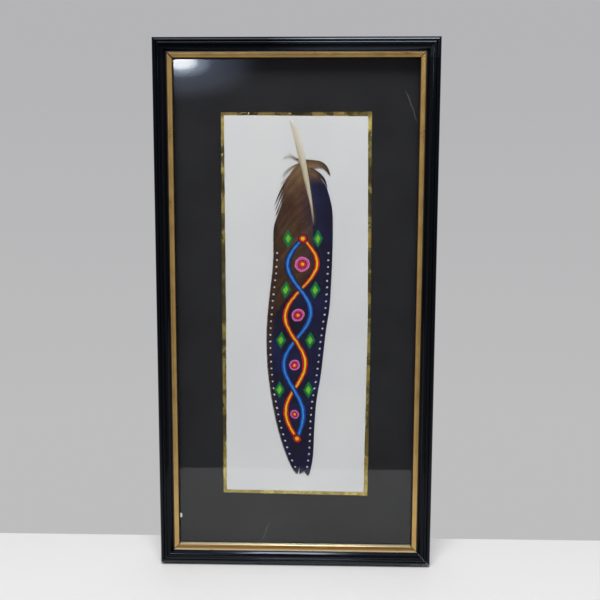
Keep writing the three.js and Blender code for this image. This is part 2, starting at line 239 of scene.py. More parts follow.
def linear(code):
    """A hex sRGB colour, with alpha where it has eight digits, as linear red, green, blue and alpha."""
    *channels, alpha = [value / 255 for value in bytes.fromhex(code.ljust(8, "f"))]
    return (*[c / 12.92 if c <= 0.04045 else ((c + 0.055) / 1.055) ** 2.4 for c in channels], alpha)


def connect(tree, node, inputs):
    """Sets a node's inputs, or links them to other nodes' outputs. Text is a hex colour."""
    for name, value in inputs.items():
        if isinstance(name, int):
            socket = node.inputs[name]
        else:
            socket = next(s for s in node.inputs if s.enabled and s.name == name)
        if isinstance(value, str):
            value = linear(value)
        if isinstance(value, bpy.types.Node):
            value = next(s for s in value.outputs if s.enabled)
        if isinstance(value, bpy.types.NodeSocket):
            tree.links.new(value, socket)
        else:
            socket.default_value = value


def add(tree, kind, inputs=None, stops=(), **settings):
    """Adds a shader node with settings, inputs and, on a ramp, colour stops.

    A mix blends colours unless its settings say otherwise.
    """
    node = tree.nodes.new("ShaderNode" + kind)
    if kind == "Mix":
        node.data_type = "RGBA"
    for name, value in settings.items():
        setattr(node, name, value)
    for index, (position, colour) in enumerate(stops):
        ramp = node.color_ramp.elements
        stop = ramp[index] if index < 2 else ramp.new(position)
        stop.position = position
        stop.color = linear(colour)
    connect(tree, node, inputs or {})
    return node


def new_material(name, **values):
    """A material with its own node tree; values are set on the shader's own sockets."""
    material = bpy.data.materials.new(name)
    material.use_nodes = True
    shader = material.node_tree.nodes["Principled BSDF"]
    connect(material.node_tree, shader, {key.replace("_", " "): value for key, value in values.items()})
    return material, material.node_tree, shader


# Materials


def mitre_gap(tree, along, inward):
    """How far a point of a rail lies from its nearer mitre, in metres along the rail."""
    half = add(tree, "Attribute", attribute_name="rail_half").outputs["Fac"]
    aside = add(tree, "Math", {0: along}, operation="ABSOLUTE")
    reach = add(tree, "Math", {0: aside, 1: inward}, operation="ADD")
    return add(tree, "Math", {0: half, 1: reach}, operation="SUBTRACT")


def bottom_rail(tree, height):
    """1 on the bottom rail and 0 on the other three, told by its length and its height."""
    half = add(tree, "Attribute", attribute_name="rail_half").outputs["Fac"]
    short = add(tree, "Math", {0: half, 1: (HALF_WIDTH + HEIGHT / 2) / 2}, operation="LESS_THAN")
    under = add(tree, "Math", {0: height, 1: UNDERSIDE + 30 * MM}, operation="LESS_THAN")
    return add(tree, "Math", {0: short, 1: under}, operation="MULTIPLY")


def black_lacquer():
    """Sprayed black lacquer on sanded wood: deep gloss, dull on the left of the top, worn at one corner."""
    material, tree, shader = new_material("black_lacquer", Specular_Tint="d4e2f6")
    grain = add(tree, "Attribute", attribute_name="rail_plan").outputs["Vector"]
    rub = add(tree, "TexNoise", {"Vector": grain, "Scale": 1 / (30 * MM), "Detail": 6.0})
    dust = add(tree, "TexNoise", {"Vector": grain, "Scale": 1 / (0.9 * MM), "Detail": 1.0})
    speck = add(tree, "MapRange", {"Value": dust, "From Min": 0.70, "From Max": 0.78})
    colour = add(tree, "Mix", {"Factor": speck, "A": "07080b", "B": "242427"})
    gloss = add(tree, "MapRange", {
        "Value": rub, "From Min": 0.4, "From Max": 0.75, "To Min": 0.1, "To Max": 0.24})
    spot = add(tree, "TexCoord").outputs["Object"]
    x, _, z = add(tree, "SeparateXYZ", {"Vector": spot}).outputs
    leftward = add(tree, "MapRange", {"Value": x, "From Min": 30 * MM, "From Max": -30 * MM})
    top = add(tree, "MapRange", {"Value": z, "From Min": TOP - 22 * MM, "From Max": TOP - 18 * MM})
    upper = add(tree, "MapRange", {"Value": leftward, "To Min": 0.5, "To Max": 0.1})
    lower = add(tree, "MapRange", {"Value": bottom_rail(tree, z), "To Min": 0.18, "To Max": 0.42})
    shine = add(tree, "Mix", {"Factor": top, "A": lower, "B": upper}, data_type="FLOAT")

    # Worn bottom right corner: a pale crack along the mitre and a scuffed foot
    along, _, inward = add(tree, "SeparateXYZ", {"Vector": grain}).outputs
    crack = add(tree, "MapRange", {
        "Value": mitre_gap(tree, along, inward), "From Min": 0.7 * MM, "From Max": 0.2 * MM})
    foot = add(tree, "MapRange", {
        "Value": z, "From Min": UNDERSIDE + 3 * MM, "From Max": UNDERSIDE + 0.5 * MM})
    either = add(tree, "Math", {0: crack, 1: foot}, operation="MAXIMUM")
    bottom = add(tree, "Math", {0: z, 1: UNDERSIDE + 21 * MM}, operation="LESS_THAN")
    outside = add(tree, "MapRange", {
        "Value": x, "From Min": HALF_WIDTH - 25 * MM, "From Max": HALF_WIDTH - 19 * MM})
    corner = add(tree, "Math", {0: outside, 1: bottom}, operation="MULTIPLY")
    scuff = add(tree, "TexNoise", {"Vector": grain, "Scale": 1 / (1.6 * MM), "Detail": 4.0})
    broken = add(tree, "MapRange", {"Value": scuff, "From Min": 0.42, "From Max": 0.6})
    area = add(tree, "Math", {0: either, 1: corner}, operation="MULTIPLY")
    bare = add(tree, "Math", {0: area, 1: broken}, operation="MULTIPLY")
    worn = add(tree, "Mix", {"Factor": bare, "A": colour, "B": "8d8c8a"})
    connect(tree, shader, {"Base Color": worn, "Roughness": gloss, "Specular IOR Level": shine})
    return material


def gilt():
    """Bronze-powder gilding on a moulded lip: warm metal, brushed lengthways.

    It has painted shade in dark brown on the flanks of its lip, except on the bottom rail, and dark joints
    in the mitres. Painted highlights run pale along the edges of the bottom rail.
    """
    material, tree, shader = new_material("gilt", Coat_Roughness=0.12)
    grain = add(tree, "Attribute", attribute_name="rail_plan").outputs["Vector"]
    along, _, inward = add(tree, "SeparateXYZ", {"Vector": grain}).outputs
    stretch = add(tree, "Mapping", {"Vector": grain, "Scale": (0.06, 1.0, 1.0)})
    brush = add(tree, "TexNoise", {"Vector": stretch, "Scale": 1 / (0.7 * MM), "Detail": 4.0})
    patch = add(tree, "TexNoise", {"Vector": grain, "Scale": 1 / (14 * MM), "Detail": 5.0})
    tone = add(tree, "Math", {0: brush, 1: patch}, operation="MULTIPLY")
    colour = add(tree, "ValToRGB", {"Fac": tone}, stops=[
        (0.1, "b28b4d"), (0.25, "c29c59"), (0.42, "cba863")])
    spot = add(tree, "TexCoord").outputs["Object"]
    x, _, z = add(tree, "SeparateXYZ", {"Vector": spot}).outputs
    # Painted shade: bare darkens the outer and inner flanks of the lip to brown on the top and side rails,
    # where little light falls; on the bottom rail they stay gold
    across = add(tree, "MapRange", {"Value": inward, "From Min": LIP_START * MM, "From Max": LIP_END * MM})
    edges = add(tree, "ValToRGB", {"Fac": across}, stops=[
        (0.12, "ffffff"), (0.2, "000000"), (0.8, "000000"), (0.88, "ffffff")])
    low = bottom_rail(tree, z)
    bare = add(tree, "Math", {0: edges, 1: low}, operation="SUBTRACT", use_clamp=True)
    # Painted highlights on the bottom rail: pale lines along both edges of the lip, with a darker brown
    # between them
    ledge_highlights = add(tree, "ValToRGB", {"Fac": across}, stops=[
        (0.14, "e8d8b4"), (0.24, "a67b38"), (0.5, "8c6427"), (0.78, "a67b38"), (0.88, "f2e8c4")])
    highlight_share = add(tree, "Math", {0: low, 1: 0.85}, operation="MULTIPLY")
    highlit_colour = add(tree, "Mix", {"Factor": highlight_share, "A": colour, "B": ledge_highlights})

    # Dark joint at the mitres, wider where the top left one gapes
    leftward = add(tree, "Math", {0: x, 1: -100 * MM}, operation="LESS_THAN")
    high = add(tree, "Math", {0: z, 1: TOP - 60 * MM}, operation="GREATER_THAN")
    open_corner = add(tree, "Math", {0: leftward, 1: high}, operation="MULTIPLY")
    breadth = add(tree, "MapRange", {"Value": open_corner, "To Min": 0.45 * MM, "To Max": 0.95 * MM})
    beyond = add(tree, "Math", {0: mitre_gap(tree, along, inward), 1: breadth}, operation="SUBTRACT")
    line = add(tree, "MapRange", {"Value": beyond, "From Min": 0.1 * MM, "From Max": -0.1 * MM})
    # thin and worn carry both the painted shade on the flanks and the dark mitre joints; there the gilt is
    # less metal and unvarnished
    thin = add(tree, "Math", {0: bare, 1: line}, operation="MAXIMUM")
    worn = add(tree, "Mix", {"Factor": thin, "A": highlit_colour, "B": "20160c"})
    metal = add(tree, "MapRange", {"Value": thin, "To Min": 0.72, "To Max": 0.1})
    gloss = add(tree, "MapRange", {
        "Value": patch, "From Min": 0.3, "From Max": 0.7, "To Min": 0.27, "To Max": 0.36})
    bump = add(tree, "Bump", {"Height": brush, "Distance": 0.03 * MM, "Strength": 0.2})
    varnish = add(tree, "MapRange", {"Value": thin, "To Min": 0.5, "To Max": 0.0})
    connect(tree, shader, {
        "Base Color": worn, "Metallic": metal, "Roughness": gloss, "Normal": bump, "Coat Weight": varnish})
    return material


def bare_pine():
    """Planed softwood on the backs of the rails: pale, with darker grain lines along the length."""
    material, tree, shader = new_material("bare_pine", Roughness=0.75)
    grain = add(tree, "Attribute", attribute_name="rail_plan").outputs["Vector"]
    stretch = add(tree, "Mapping", {"Vector": grain, "Scale": (0.05, 1.0, 1.0)})
    rings = add(tree, "TexNoise", {
        "Vector": stretch, "Scale": 1 / (2.2 * MM), "Detail": 5.0, "Distortion": 0.4})
    pores = add(tree, "TexNoise", {"Vector": stretch, "Scale": 1 / (0.4 * MM), "Detail": 3.0})
    colour = add(tree, "ValToRGB", {"Fac": rings}, stops=[
        (0.3, "8a6440"), (0.52, "b8926a"), (0.7, "c9a87e")])
    bump = add(tree, "Bump", {"Height": pores, "Distance": 0.1 * MM, "Strength": 0.4})
    connect(tree, shader, {"Base Color": colour, "Normal": bump})
    return material


def gesso():
    """Chalk ground laid bare where the lip is chipped: matt and off-white."""
    material, tree, shader = new_material("gesso", Roughness=0.9)
    spot = add(tree, "TexCoord").outputs["Object"]
    crumb = add(tree, "TexNoise", {"Vector": spot, "Scale": 1 / (0.5 * MM), "Detail": 3.0})
    colour = add(tree, "ValToRGB", {"Fac": crumb}, stops=[(0.3, "c9bfa8"), (0.7, "f2ede0")])
    connect(tree, shader, {"Base Color": colour})
    return material


def picture_glass():
    """Drawn sheet glass, 2 mm: clear, faintly green, with wiped smears that soften its reflections."""
    # An IOR below plain glass's 1.5, because the pane mirrors the room only weakly
    material, tree, shader = new_material(
        "picture_glass", Base_Color="fbfdfc", Transmission_Weight=1.0, IOR=1.34)
    spot = add(tree, "TexCoord").outputs["Object"]
    stretch = add(tree, "Mapping", {"Vector": spot, "Scale": (0.4, 1.0, 1.6)})
    smear = add(tree, "TexNoise", {
        "Vector": stretch, "Scale": 1 / (40 * MM), "Detail": 6.0, "Distortion": 1.0})
    gloss = add(tree, "MapRange", {
        "Value": smear, "From Min": 0.4, "From Max": 0.7, "To Min": 0.015, "To Max": 0.05})
    connect(tree, shader, {"Roughness": gloss})
    return material


def black_board():
    """Black mount board: matt paper facing with a fine tooth, a little dust and a few faint scratches."""
    material, tree, shader = new_material("black_board", Roughness=0.9, Specular_IOR_Level=0.15)
    spot = add(tree, "TexCoord").outputs["Object"]
    tooth = add(tree, "TexNoise", {"Vector": spot, "Scale": 1 / (0.8 * MM), "Detail": 4.0})
    cloud = add(tree, "TexNoise", {"Vector": spot, "Scale": 1 / (60 * MM), "Detail": 4.0})
    dust = add(tree, "TexVoronoi", {"Vector": spot, "Scale": 1 / (9 * MM)})
    speck = add(tree, "MapRange", {"Value": dust, "From Min": 0.055, "From Max": 0.03})
    base = add(tree, "ValToRGB", {"Fac": cloud}, stops=[(0.3, "1b1b1d"), (0.7, "232325")])
    fleck = add(tree, "Math", {0: speck, 1: 0.25}, operation="MULTIPLY")
    colour = add(tree, "Mix", {"Factor": fleck, "A": base, "B": "8a8886"})
    for (middle_x, middle_z), turn, length in SCRATCHES:
        middle = place(middle_x, 0, middle_z)
        tilt = (0, math.radians(turn), 0)
        local = add(tree, "Mapping", {
            "Vector": spot, "Location": middle, "Rotation": tilt}, vector_type="TEXTURE")
        bent = add(tree, "TexNoise", {"Vector": local, "Scale": 1 / (9 * MM), "Detail": 2.0})
        x, _, z = add(tree, "SeparateXYZ", {"Vector": local}).outputs
        drift = add(tree, "MapRange", {"Value": bent, "To Min": -3 * MM, "To Max": 3 * MM})
        away = add(tree, "Math", {0: x, 1: drift}, operation="SUBTRACT")
        near = add(tree, "Math", {0: away}, operation="ABSOLUTE")
        thin = add(tree, "MapRange", {"Value": near, "From Min": 0.5 * MM, "From Max": 0.2 * MM})
        far = add(tree, "Math", {0: z}, operation="ABSOLUTE")
        ends = add(tree, "MapRange", {
            "Value": far, "From Min": length / 2 * MM, "From Max": length / 3 * MM})
        line = add(tree, "Math", {0: thin, 1: ends}, operation="MULTIPLY")
        faint = add(tree, "Math", {0: line, 1: 0.5}, operation="MULTIPLY")
        colour = add(tree, "Mix", {"Factor": faint, "A": colour, "B": "8a8886"})
    bump = add(tree, "Bump", {"Height": tooth, "Distance": 0.05 * MM, "Strength": 0.4})
    connect(tree, shader, {"Base Color": colour, "Normal": bump})
    return material


def gold_foil():
    """Mirror foil on thin card: gold that mirrors table or room, hazed in patches, a painted dark reflection
    on top.
    """
    material, tree, shader = new_material("gold_foil", Metallic=1.0)
    spot = add(tree, "TexCoord").outputs["Object"]
    crinkle = add(tree, "TexNoise", {"Vector": spot, "Scale": 1 / (9 * MM), "Detail": 3.0})
    tarnish = add(tree, "TexNoise", {"Vector": spot, "Scale": 1 / (5 * MM), "Detail": 4.0})
    colour = add(tree, "ValToRGB", {"Fac": tarnish}, stops=[
        (0.32, "ae9145"), (0.46, "bea657"), (0.62, "d0c070")])
    haze = add(tree, "TexNoise", {"Vector": spot, "Scale": 1 / (22 * MM), "Detail": 3.0})
    gloss = add(tree, "MapRange", {
        "Value": haze, "From Min": 0.42, "From Max": 0.66, "To Min": 0.1, "To Max": 0.5})
    height = add(tree, "SeparateXYZ", {"Vector": spot}).outputs["Z"]
    rough = add(tree, "MapRange", {
        "Value": height, "From Min": UNDERSIDE + 80 * MM, "From Max": UNDERSIDE + 420 * MM,
        "To Min": 0.08, "To Max": 0.8})
    bump = add(tree, "Bump", {"Height": crinkle, "Distance": 0.9 * MM, "Strength": rough})
    # Painted reflection: the top strip is mixed to dark brown, as the foil there mirrors the dim room
    brown = add(tree, "MapRange", {
        "Value": height, "From Min": UNDERSIDE + 458 * MM, "From Max": UNDERSIDE + 463 * MM,
        "To Max": 0.65})
    painted_dark_top = add(tree, "Mix", {"Factor": brown, "A": colour, "B": "6e5230"})
    connect(tree, shader, {"Base Color": painted_dark_top, "Roughness": gloss, "Normal": bump})
    return material


def white_board():
    """Smooth white card: matt, with a faint fibre and a slight cool cast."""
    material, tree, shader = new_material("white_board", Roughness=0.7)
    spot = add(tree, "TexCoord").outputs["Object"]
    fibre = add(tree, "TexNoise", {"Vector": spot, "Scale": 1 / (0.6 * MM), "Detail": 5.0})
    cloud = add(tree, "TexNoise", {"Vector": spot, "Scale": 1 / (80 * MM), "Detail": 3.0})
    colour = add(tree, "ValToRGB", {"Fac": cloud}, stops=[(0.3, "d6d5d7"), (0.7, "dcdcdc")])
    bump = add(tree, "Bump", {"Height": fibre, "Distance": 0.04 * MM, "Strength": 0.3})
    connect(tree, shader, {"Base Color": colour, "Normal": bump})
    return material


def hardboard_brown():
    """Pressed hardboard: smooth brown face with darker fibres and pale flecks."""
    material, tree, shader = new_material("hardboard_brown", Roughness=0.7)
    spot = add(tree, "TexCoord").outputs["Object"]
    fibre = add(tree, "TexNoise", {
        "Vector": spot, "Scale": 1 / (1.6 * MM), "Detail": 6.0, "Distortion": 1.5})
    cloud = add(tree, "TexNoise", {"Vector": spot, "Scale": 1 / (50 * MM), "Detail": 4.0})
    blend = add(tree, "Math", {0: fibre, 1: cloud}, operation="MULTIPLY")
    colour = add(tree, "ValToRGB", {"Fac": blend}, stops=[
        (0.1, "5a3c26"), (0.26, "6f4a2d"), (0.44, "835c3a")])
    bump = add(tree, "Bump", {"Height": fibre, "Distance": 0.08 * MM, "Strength": 0.4})
    connect(tree, shader, {"Base Color": colour, "Normal": bump})
    return material


def plated_steel():
    """Zinc-plated sheet steel: grey metal with a faint spangle and scuffs."""
    material, tree, shader = new_material("plated_steel", Metallic=1.0)
    spot = add(tree, "TexCoord").outputs["Object"]
    spangle = add(tree, "TexNoise", {"Vector": spot, "Scale": 1 / (1.5 * MM), "Detail": 4.0})
    colour = add(tree, "ValToRGB", {"Fac": spangle}, stops=[(0.3, "8f9092"), (0.7, "c2c3c4")])
    gloss = add(tree, "MapRange", {"Value": spangle, "To Min": 0.22, "To Max": 0.5})
    connect(tree, shader, {"Base Color": colour, "Roughness": gloss})
    return material


def brassed_steel():
    """Stamped steel with a brass wash: yellow metal, dull where it was handled."""
    material, tree, shader = new_material("brassed_steel", Metallic=1.0)
    spot = add(tree, "TexCoord").outputs["Object"]
    stain = add(tree, "TexNoise", {"Vector": spot, "Scale": 1 / (3 * MM), "Detail": 5.0})
    colour = add(tree, "ValToRGB", {"Fac": stain}, stops=[(0.3, "8f6d33"), (0.7, "cfa75c")])
    gloss = add(tree, "MapRange", {"Value": stain, "To Min": 0.24, "To Max": 0.45})
    connect(tree, shader, {"Base Color": colour, "Roughness": gloss})
    return material


def quill_keratin():
    """Keratin shaft: waxy cream, glassy at the cut end, with darker streaks and paint further down."""
    material, tree, shader = new_material(
        "quill_keratin", Roughness=0.6, Specular_IOR_Level=0.2,
        Subsurface_Weight=0.7, Subsurface_Scale=4 * MM, Subsurface_Radius=(1.0, 0.85, 0.7))
    spot = add(tree, "TexCoord").outputs["Object"]
    plan = add(tree, "Attribute", attribute_name="quill_plan").outputs["Vector"]
    aside, along, _ = add(tree, "SeparateXYZ", {"Vector": plan}).outputs
    stretch = add(tree, "Mapping", {"Vector": spot, "Scale": (1.0, 1.0, 0.06)})
    streak = add(tree, "TexNoise", {"Vector": stretch, "Scale": 1 / (1.1 * MM), "Detail": 3.0})
    wander = add(tree, "Math", {0: streak, 1: 0.8, 2: aside}, operation="MULTIPLY_ADD")
    across = add(tree, "MapRange", {"Value": wander, "From Min": 0.2, "From Max": 1.4})
    glassy = add(tree, "ValToRGB", {"Fac": across}, stops=[
        (0.1, "dad8d0"), (0.32, "cec7b3"), (0.58, "cdc6b2"), (0.8, "d3cec4"), (1.0, "d8d5cf")])
    clear = add(tree, "MapRange", {"Value": along, "From Min": 16.0, "From Max": 2.0, "To Max": 0.8})
    ghost = add(tree, "Mix", {"Factor": clear, "A": glassy, "B": "c4c1b8"})
    cream = add(tree, "ValToRGB", {"Fac": across}, stops=[
        (0.2, "a4987c"), (0.5, "cabea6"), (0.9, "d0c6b0")])
    solid = add(tree, "MapRange", {"Value": along, "From Min": 22.0, "From Max": 48.0})
    shaft = add(tree, "Mix", {"Factor": solid, "A": ghost, "B": cream})
    cover = add(tree, "MapRange", {"Value": along, "From Min": 84.0, "From Max": 108.0})
    colour = add(tree, "Mix", {"Factor": cover, "A": shaft, "B": "211c30"})
    bump = add(tree, "Bump", {"Height": streak, "Distance": 0.1 * MM, "Strength": 0.3})
    connect(tree, shader, {"Base Color": colour, "Normal": bump})
    return material


# Painted bands of the feather in millimetres: a plait of two ribbons with a ring in every eye
PLAIT_TOP = 340
PLAIT_EYE = 52
PLAIT_EYES = 4
PLAIT_WAVE = (16, 8)
RIBBON_HALF = 2.6
RIBBON_RIM = 0.9
BLUE_RIBBON = ("1446a0", "3f8fd6")
RED_RIBBON = ("c81e19", "e8c81e")
RIM_COLOUR = "17142a"
CLEAR = "00000000"
RING_SHARE = 0.76
LOZENGE_OUT = 15
LOZENGE_HALF = 9
LOZENGE_SLOPE = 1.7
KNOT_REACH = 5
DOT_PITCH = 7
DOT_INSET = 4.2
DOT_RADIUS = 0.8
DOTS_BELOW = 330


def between(tree, value, low, high):
    """1 where a value lies between two limits, else 0."""
    above = add(tree, "Math", {0: value, 1: low}, operation="GREATER_THAN")
    below = add(tree, "Math", {0: value, 1: high}, operation="LESS_THAN")
    return add(tree, "Math", {0: above, 1: below}, operation="MULTIPLY")


def from_middle(tree, across, along):
    """How far a point lies from the middle of a round mark."""
    spot = add(tree, "CombineXYZ", {"X": across, "Y": along})
    return add(tree, "VectorMath", {0: spot}, operation="LENGTH").outputs["Value"]


def bare_barbs(tree, plan, height, inset, strand):
    """Natural barbs: tan by the quill, olive brown at the edge and darker down the feather."""
    level = add(tree, "MapRange", {"Value": height, "From Min": 180.0, "From Max": 412.0})
    brown = add(tree, "ValToRGB", {"Fac": level}, stops=[
        (0.0, "3b2620"), (0.5, "49301f"), (0.72, "573f2d"), (0.83, "523628"), (0.885, "614633"),
        (1.0, "7d6347")])
    edge = add(tree, "MapRange", {"Value": inset, "From Min": 12.0, "From Max": 1.0, "To Max": 0.7})
    olive = add(tree, "Mix", {"Factor": edge, "A": brown, "B": "3e2f26"})
    mottle = add(tree, "TexNoise", {"Vector": plan, "Scale": 1 / 9.09, "Detail": 4.0})
    cloudy = add(tree, "MapRange", {
        "Value": mottle, "From Min": 0.3, "From Max": 0.7, "To Min": 0.72, "To Max": 1.25})
    tinted = add(tree, "Mix", {"Factor": 1.0, "A": olive, "B": cloudy}, blend_type="MULTIPLY")
    light = add(tree, "MapRange", {"Value": strand, "To Min": 0.55, "To Max": 1.2})
    streaked = add(tree, "Mix", {"Factor": 1.0, "A": tinted, "B": light}, blend_type="MULTIPLY")
    faded = add(tree, "Attribute", attribute_name="faded").outputs["Fac"]
    return add(tree, "Mix", {"Factor": faded, "A": streaked, "B": "c8c4ba"})


def dot_row(tree, coat, height, inset):
    """A row of pale dots inside the edge."""
    step = add(tree, "Math", {0: height, 1: DOT_PITCH}, operation="DIVIDE")
    part = add(tree, "Math", {0: step}, operation="FRACT")
    along = add(tree, "MapRange", {"Value": part, "To Min": -DOT_PITCH / 2, "To Max": DOT_PITCH / 2})
    beside = add(tree, "Math", {0: inset, 1: DOT_INSET}, operation="SUBTRACT")
    dot = add(tree, "MapRange", {
        "Value": from_middle(tree, along, beside), "From Min": DOT_RADIUS + 0.2, "From Max": DOT_RADIUS})
    low = add(tree, "Math", {0: height, 1: DOTS_BELOW}, operation="LESS_THAN")
    shown = add(tree, "Math", {0: dot, 1: low}, operation="MULTIPLY")
    return add(tree, "Mix", {"Factor": shown, "A": coat, "B": "d4d2de"})


def lozenges(tree, coat, across, count, offset):
    """A green lozenge on both sides of each crossing but the last."""
    tall = add(tree, "Math", {0: offset}, operation="ABSOLUTE")
    width = add(tree, "Math", {0: across}, operation="ABSOLUTE")
    sideways = add(tree, "Math", {0: width, 1: LOZENGE_OUT}, operation="SUBTRACT")
    wide = add(tree, "Math", {0: sideways}, operation="ABSOLUTE")
    steep = add(tree, "Math", {0: wide, 1: LOZENGE_SLOPE, 2: tall}, operation="MULTIPLY_ADD")
    shown = between(tree, count, -0.3, PLAIT_EYES - 0.5)
    for half, colour in ((LOZENGE_HALF, "14783c"), (LOZENGE_HALF / 2, "78be3c")):
        leaf = add(tree, "Math", {0: steep, 1: half}, operation="LESS_THAN")
        mask = add(tree, "Math", {0: leaf, 1: shown}, operation="MULTIPLY")
        coat = add(tree, "Mix", {"Factor": mask, "A": coat, "B": colour})
    return coat


def round_marks(tree, coat, share, shown, stops):
    """Marks of concentric bands, given the share of their radius and where they are shown."""
    bands = add(tree, "ValToRGB", {"Fac": share}, stops)
    bands.color_ramp.interpolation = "CONSTANT"
    mask = add(tree, "Math", {0: bands.outputs["Alpha"], 1: shown}, operation="MULTIPLY")
    return add(tree, "Mix", {"Factor": mask, "A": coat, "B": bands.outputs["Color"]})


def eye_rings(tree, coat, across, count, swing, inside):
    """A ring in every eye of the plait, smaller as the eyes narrow."""
    part = add(tree, "Math", {0: count}, operation="FRACT")
    along = add(tree, "MapRange", {"Value": part, "To Min": -PLAIT_EYE / 2, "To Max": PLAIT_EYE / 2})
    reach = add(tree, "Math", {0: swing, 1: RING_SHARE}, operation="MULTIPLY")
    share = add(tree, "Math", {0: from_middle(tree, across, along), 1: reach}, operation="DIVIDE")
    return round_marks(tree, coat, share, inside, [
        (0.0, "d2cc1e"), (0.13, "eb1e32"), (0.3, CLEAR), (0.4, "c85096"), (0.56, "d87ab4"), (0.66, CLEAR)])


def ribbons(tree, coat, across, count, nearest, swing, inside):
    """Two ribbons that pass over and under each other: the blue one is drawn again where it is on top."""
    angle = add(tree, "Math", {0: count, 1: math.pi}, operation="MULTIPLY")
    sine = add(tree, "Math", {0: angle}, operation="SINE")
    wave = add(tree, "Math", {0: sine, 1: swing}, operation="MULTIPLY")
    odd = add(tree, "Math", {0: nearest, 1: 2.0}, operation="MODULO")
    on_top = add(tree, "Math", {0: odd, 1: inside}, operation="MULTIPLY")
    passes = [("ADD", inside, BLUE_RIBBON), ("SUBTRACT", inside, RED_RIBBON), ("ADD", on_top, BLUE_RIBBON)]
    for side, shown, (edge, core) in passes:
        gap = add(tree, "Math", {0: across, 1: wave}, operation=side)
        away = add(tree, "Math", {0: gap}, operation="ABSOLUTE")
        strokes = [(RIBBON_HALF + RIBBON_RIM, RIM_COLOUR), (RIBBON_HALF, edge), (RIBBON_HALF / 3, core)]
        for half, colour in strokes:
            stroke = add(tree, "Math", {0: away, 1: half}, operation="LESS_THAN")
            mask = add(tree, "Math", {0: stroke, 1: shown}, operation="MULTIPLY")
            coat = add(tree, "Mix", {"Factor": mask, "A": coat, "B": colour})
    return coat


def end_knots(tree, coat, across, count, nearest, offset):
    """Round knots where the ribbons begin and end."""
    outer = add(tree, "Math", {0: nearest, 1: PLAIT_EYES / 2}, operation="SUBTRACT")
    order = add(tree, "Math", {0: outer}, operation="ABSOLUTE")
    last = add(tree, "Math", {0: order, 1: PLAIT_EYES / 2 - 0.5}, operation="GREATER_THAN")
    near = between(tree, count, -0.3, PLAIT_EYES + 0.3)
    shown = add(tree, "Math", {0: last, 1: near}, operation="MULTIPLY")
    share = add(tree, "Math", {0: from_middle(tree, across, offset), 1: KNOT_REACH}, operation="DIVIDE")
    return round_marks(tree, coat, share, shown, [
        (0.0, RED_RIBBON[1]), (0.4, RED_RIBBON[0]), (0.8, RIM_COLOUR), (1.0, CLEAR)])


def painted_barbs():
    """Barbs of the vanes: brown keratin, and matt paint that sits on the barbs in fine streaks."""
    material, tree, shader = new_material("painted_barbs", Specular_IOR_Level=0.07)
    plan = add(tree, "Attribute", attribute_name="plan").outputs["Vector"]
    strand = add(tree, "Attribute", attribute_name="strand").outputs["Fac"]
    painted = add(tree, "Attribute", attribute_name="painted").outputs["Fac"]

    # Place on the feather in millimetres, shaken a little as by a brush: across, up and in from the edge
    wobble = add(tree, "TexNoise", {"Vector": plan, "Scale": 1 / 4.545, "Detail": 2.0}).outputs["Color"]
    centred = add(tree, "VectorMath", {0: wobble, 1: (0.5, 0.5, 0.5)}, operation="SUBTRACT")
    shift = add(tree, "VectorMath", {0: centred, "Scale": 1.6}, operation="SCALE")
    drawn = add(tree, "VectorMath", {0: plan, 1: shift}, operation="ADD")
    across, height, inset = add(tree, "SeparateXYZ", {"Vector": drawn}).outputs

    # Ground coat of dark blue that turns purple in places
    cloud = add(tree, "TexNoise", {"Vector": plan, "Scale": 1 / 33.33, "Detail": 3.0})
    navy = add(tree, "ValToRGB", {"Fac": cloud}, stops=[
        (0.35, "1c1526"), (0.5, "1a1b36"), (0.68, "20224a")])
    natural = bare_barbs(tree, plan, height, inset, strand)
    coat = add(tree, "Mix", {"Factor": painted, "A": natural, "B": navy})

    # Count of eyes down from the top of the plait, nearest crossing and way to it, and the plait's swing
    down = add(tree, "Math", {0: PLAIT_TOP, 1: height}, operation="SUBTRACT")
    count = add(tree, "Math", {0: down, 1: PLAIT_EYE}, operation="DIVIDE")
    nearest = add(tree, "Math", {0: count}, operation="ROUND")
    apart = add(tree, "Math", {0: count, 1: nearest}, operation="SUBTRACT")
    offset = add(tree, "Math", {0: apart, 1: PLAIT_EYE}, operation="MULTIPLY")
    swing = add(tree, "MapRange", {
        "Value": count, "From Max": PLAIT_EYES, "To Min": PLAIT_WAVE[0], "To Max": PLAIT_WAVE[1]})
    inside = between(tree, count, 0, PLAIT_EYES)
    coat = dot_row(tree, coat, height, inset)
    coat = lozenges(tree, coat, across, count, offset)
    coat = eye_rings(tree, coat, across, count, swing, inside)
    coat = ribbons(tree, coat, across, count, nearest, swing, inside)
    coat = end_knots(tree, coat, across, count, nearest, offset)

    streak = add(tree, "MapRange", {"Value": strand, "To Min": 0.8, "To Max": 1.1})
    shade = add(tree, "Mix", {"Factor": 1.0, "A": coat, "B": streak}, blend_type="MULTIPLY")
    gloss = add(tree, "MapRange", {"Value": painted, "To Min": 0.7, "To Max": 0.5})
    connect(tree, shader, {"Base Color": shade, "Roughness": gloss})
    return material


# Making pieces


def open_piece(name):
    """Names the piece just added and opens it for editing."""
    piece = bpy.context.active_object
    piece.name = name
    piece.data.name = name
    bpy.ops.object.mode_set(mode="EDIT")
    return piece


def close_piece():
    """Leaves editing and puts the piece's place into its mesh."""
    bpy.ops.object.mode_set(mode="OBJECT")
    bpy.ops.object.transform_apply(location=True, rotation=True, scale=True)


def store(piece, name, values):
    """Stores one value, or three, for each point of a piece under a name that its material reads."""
    values = np.asarray(values, dtype=np.float32)
    kind, field = ("FLOAT", "value") if values.ndim == 1 else ("FLOAT_VECTOR", "vector")
    attribute = piece.data.attributes.new(name, kind, "POINT")
    attribute.data.foreach_set(field, values.ravel())


def mesh_points(piece):
    """Places of a piece's points in metres, one row each."""
    return np.array([vertex.co for vertex in piece.data.vertices])


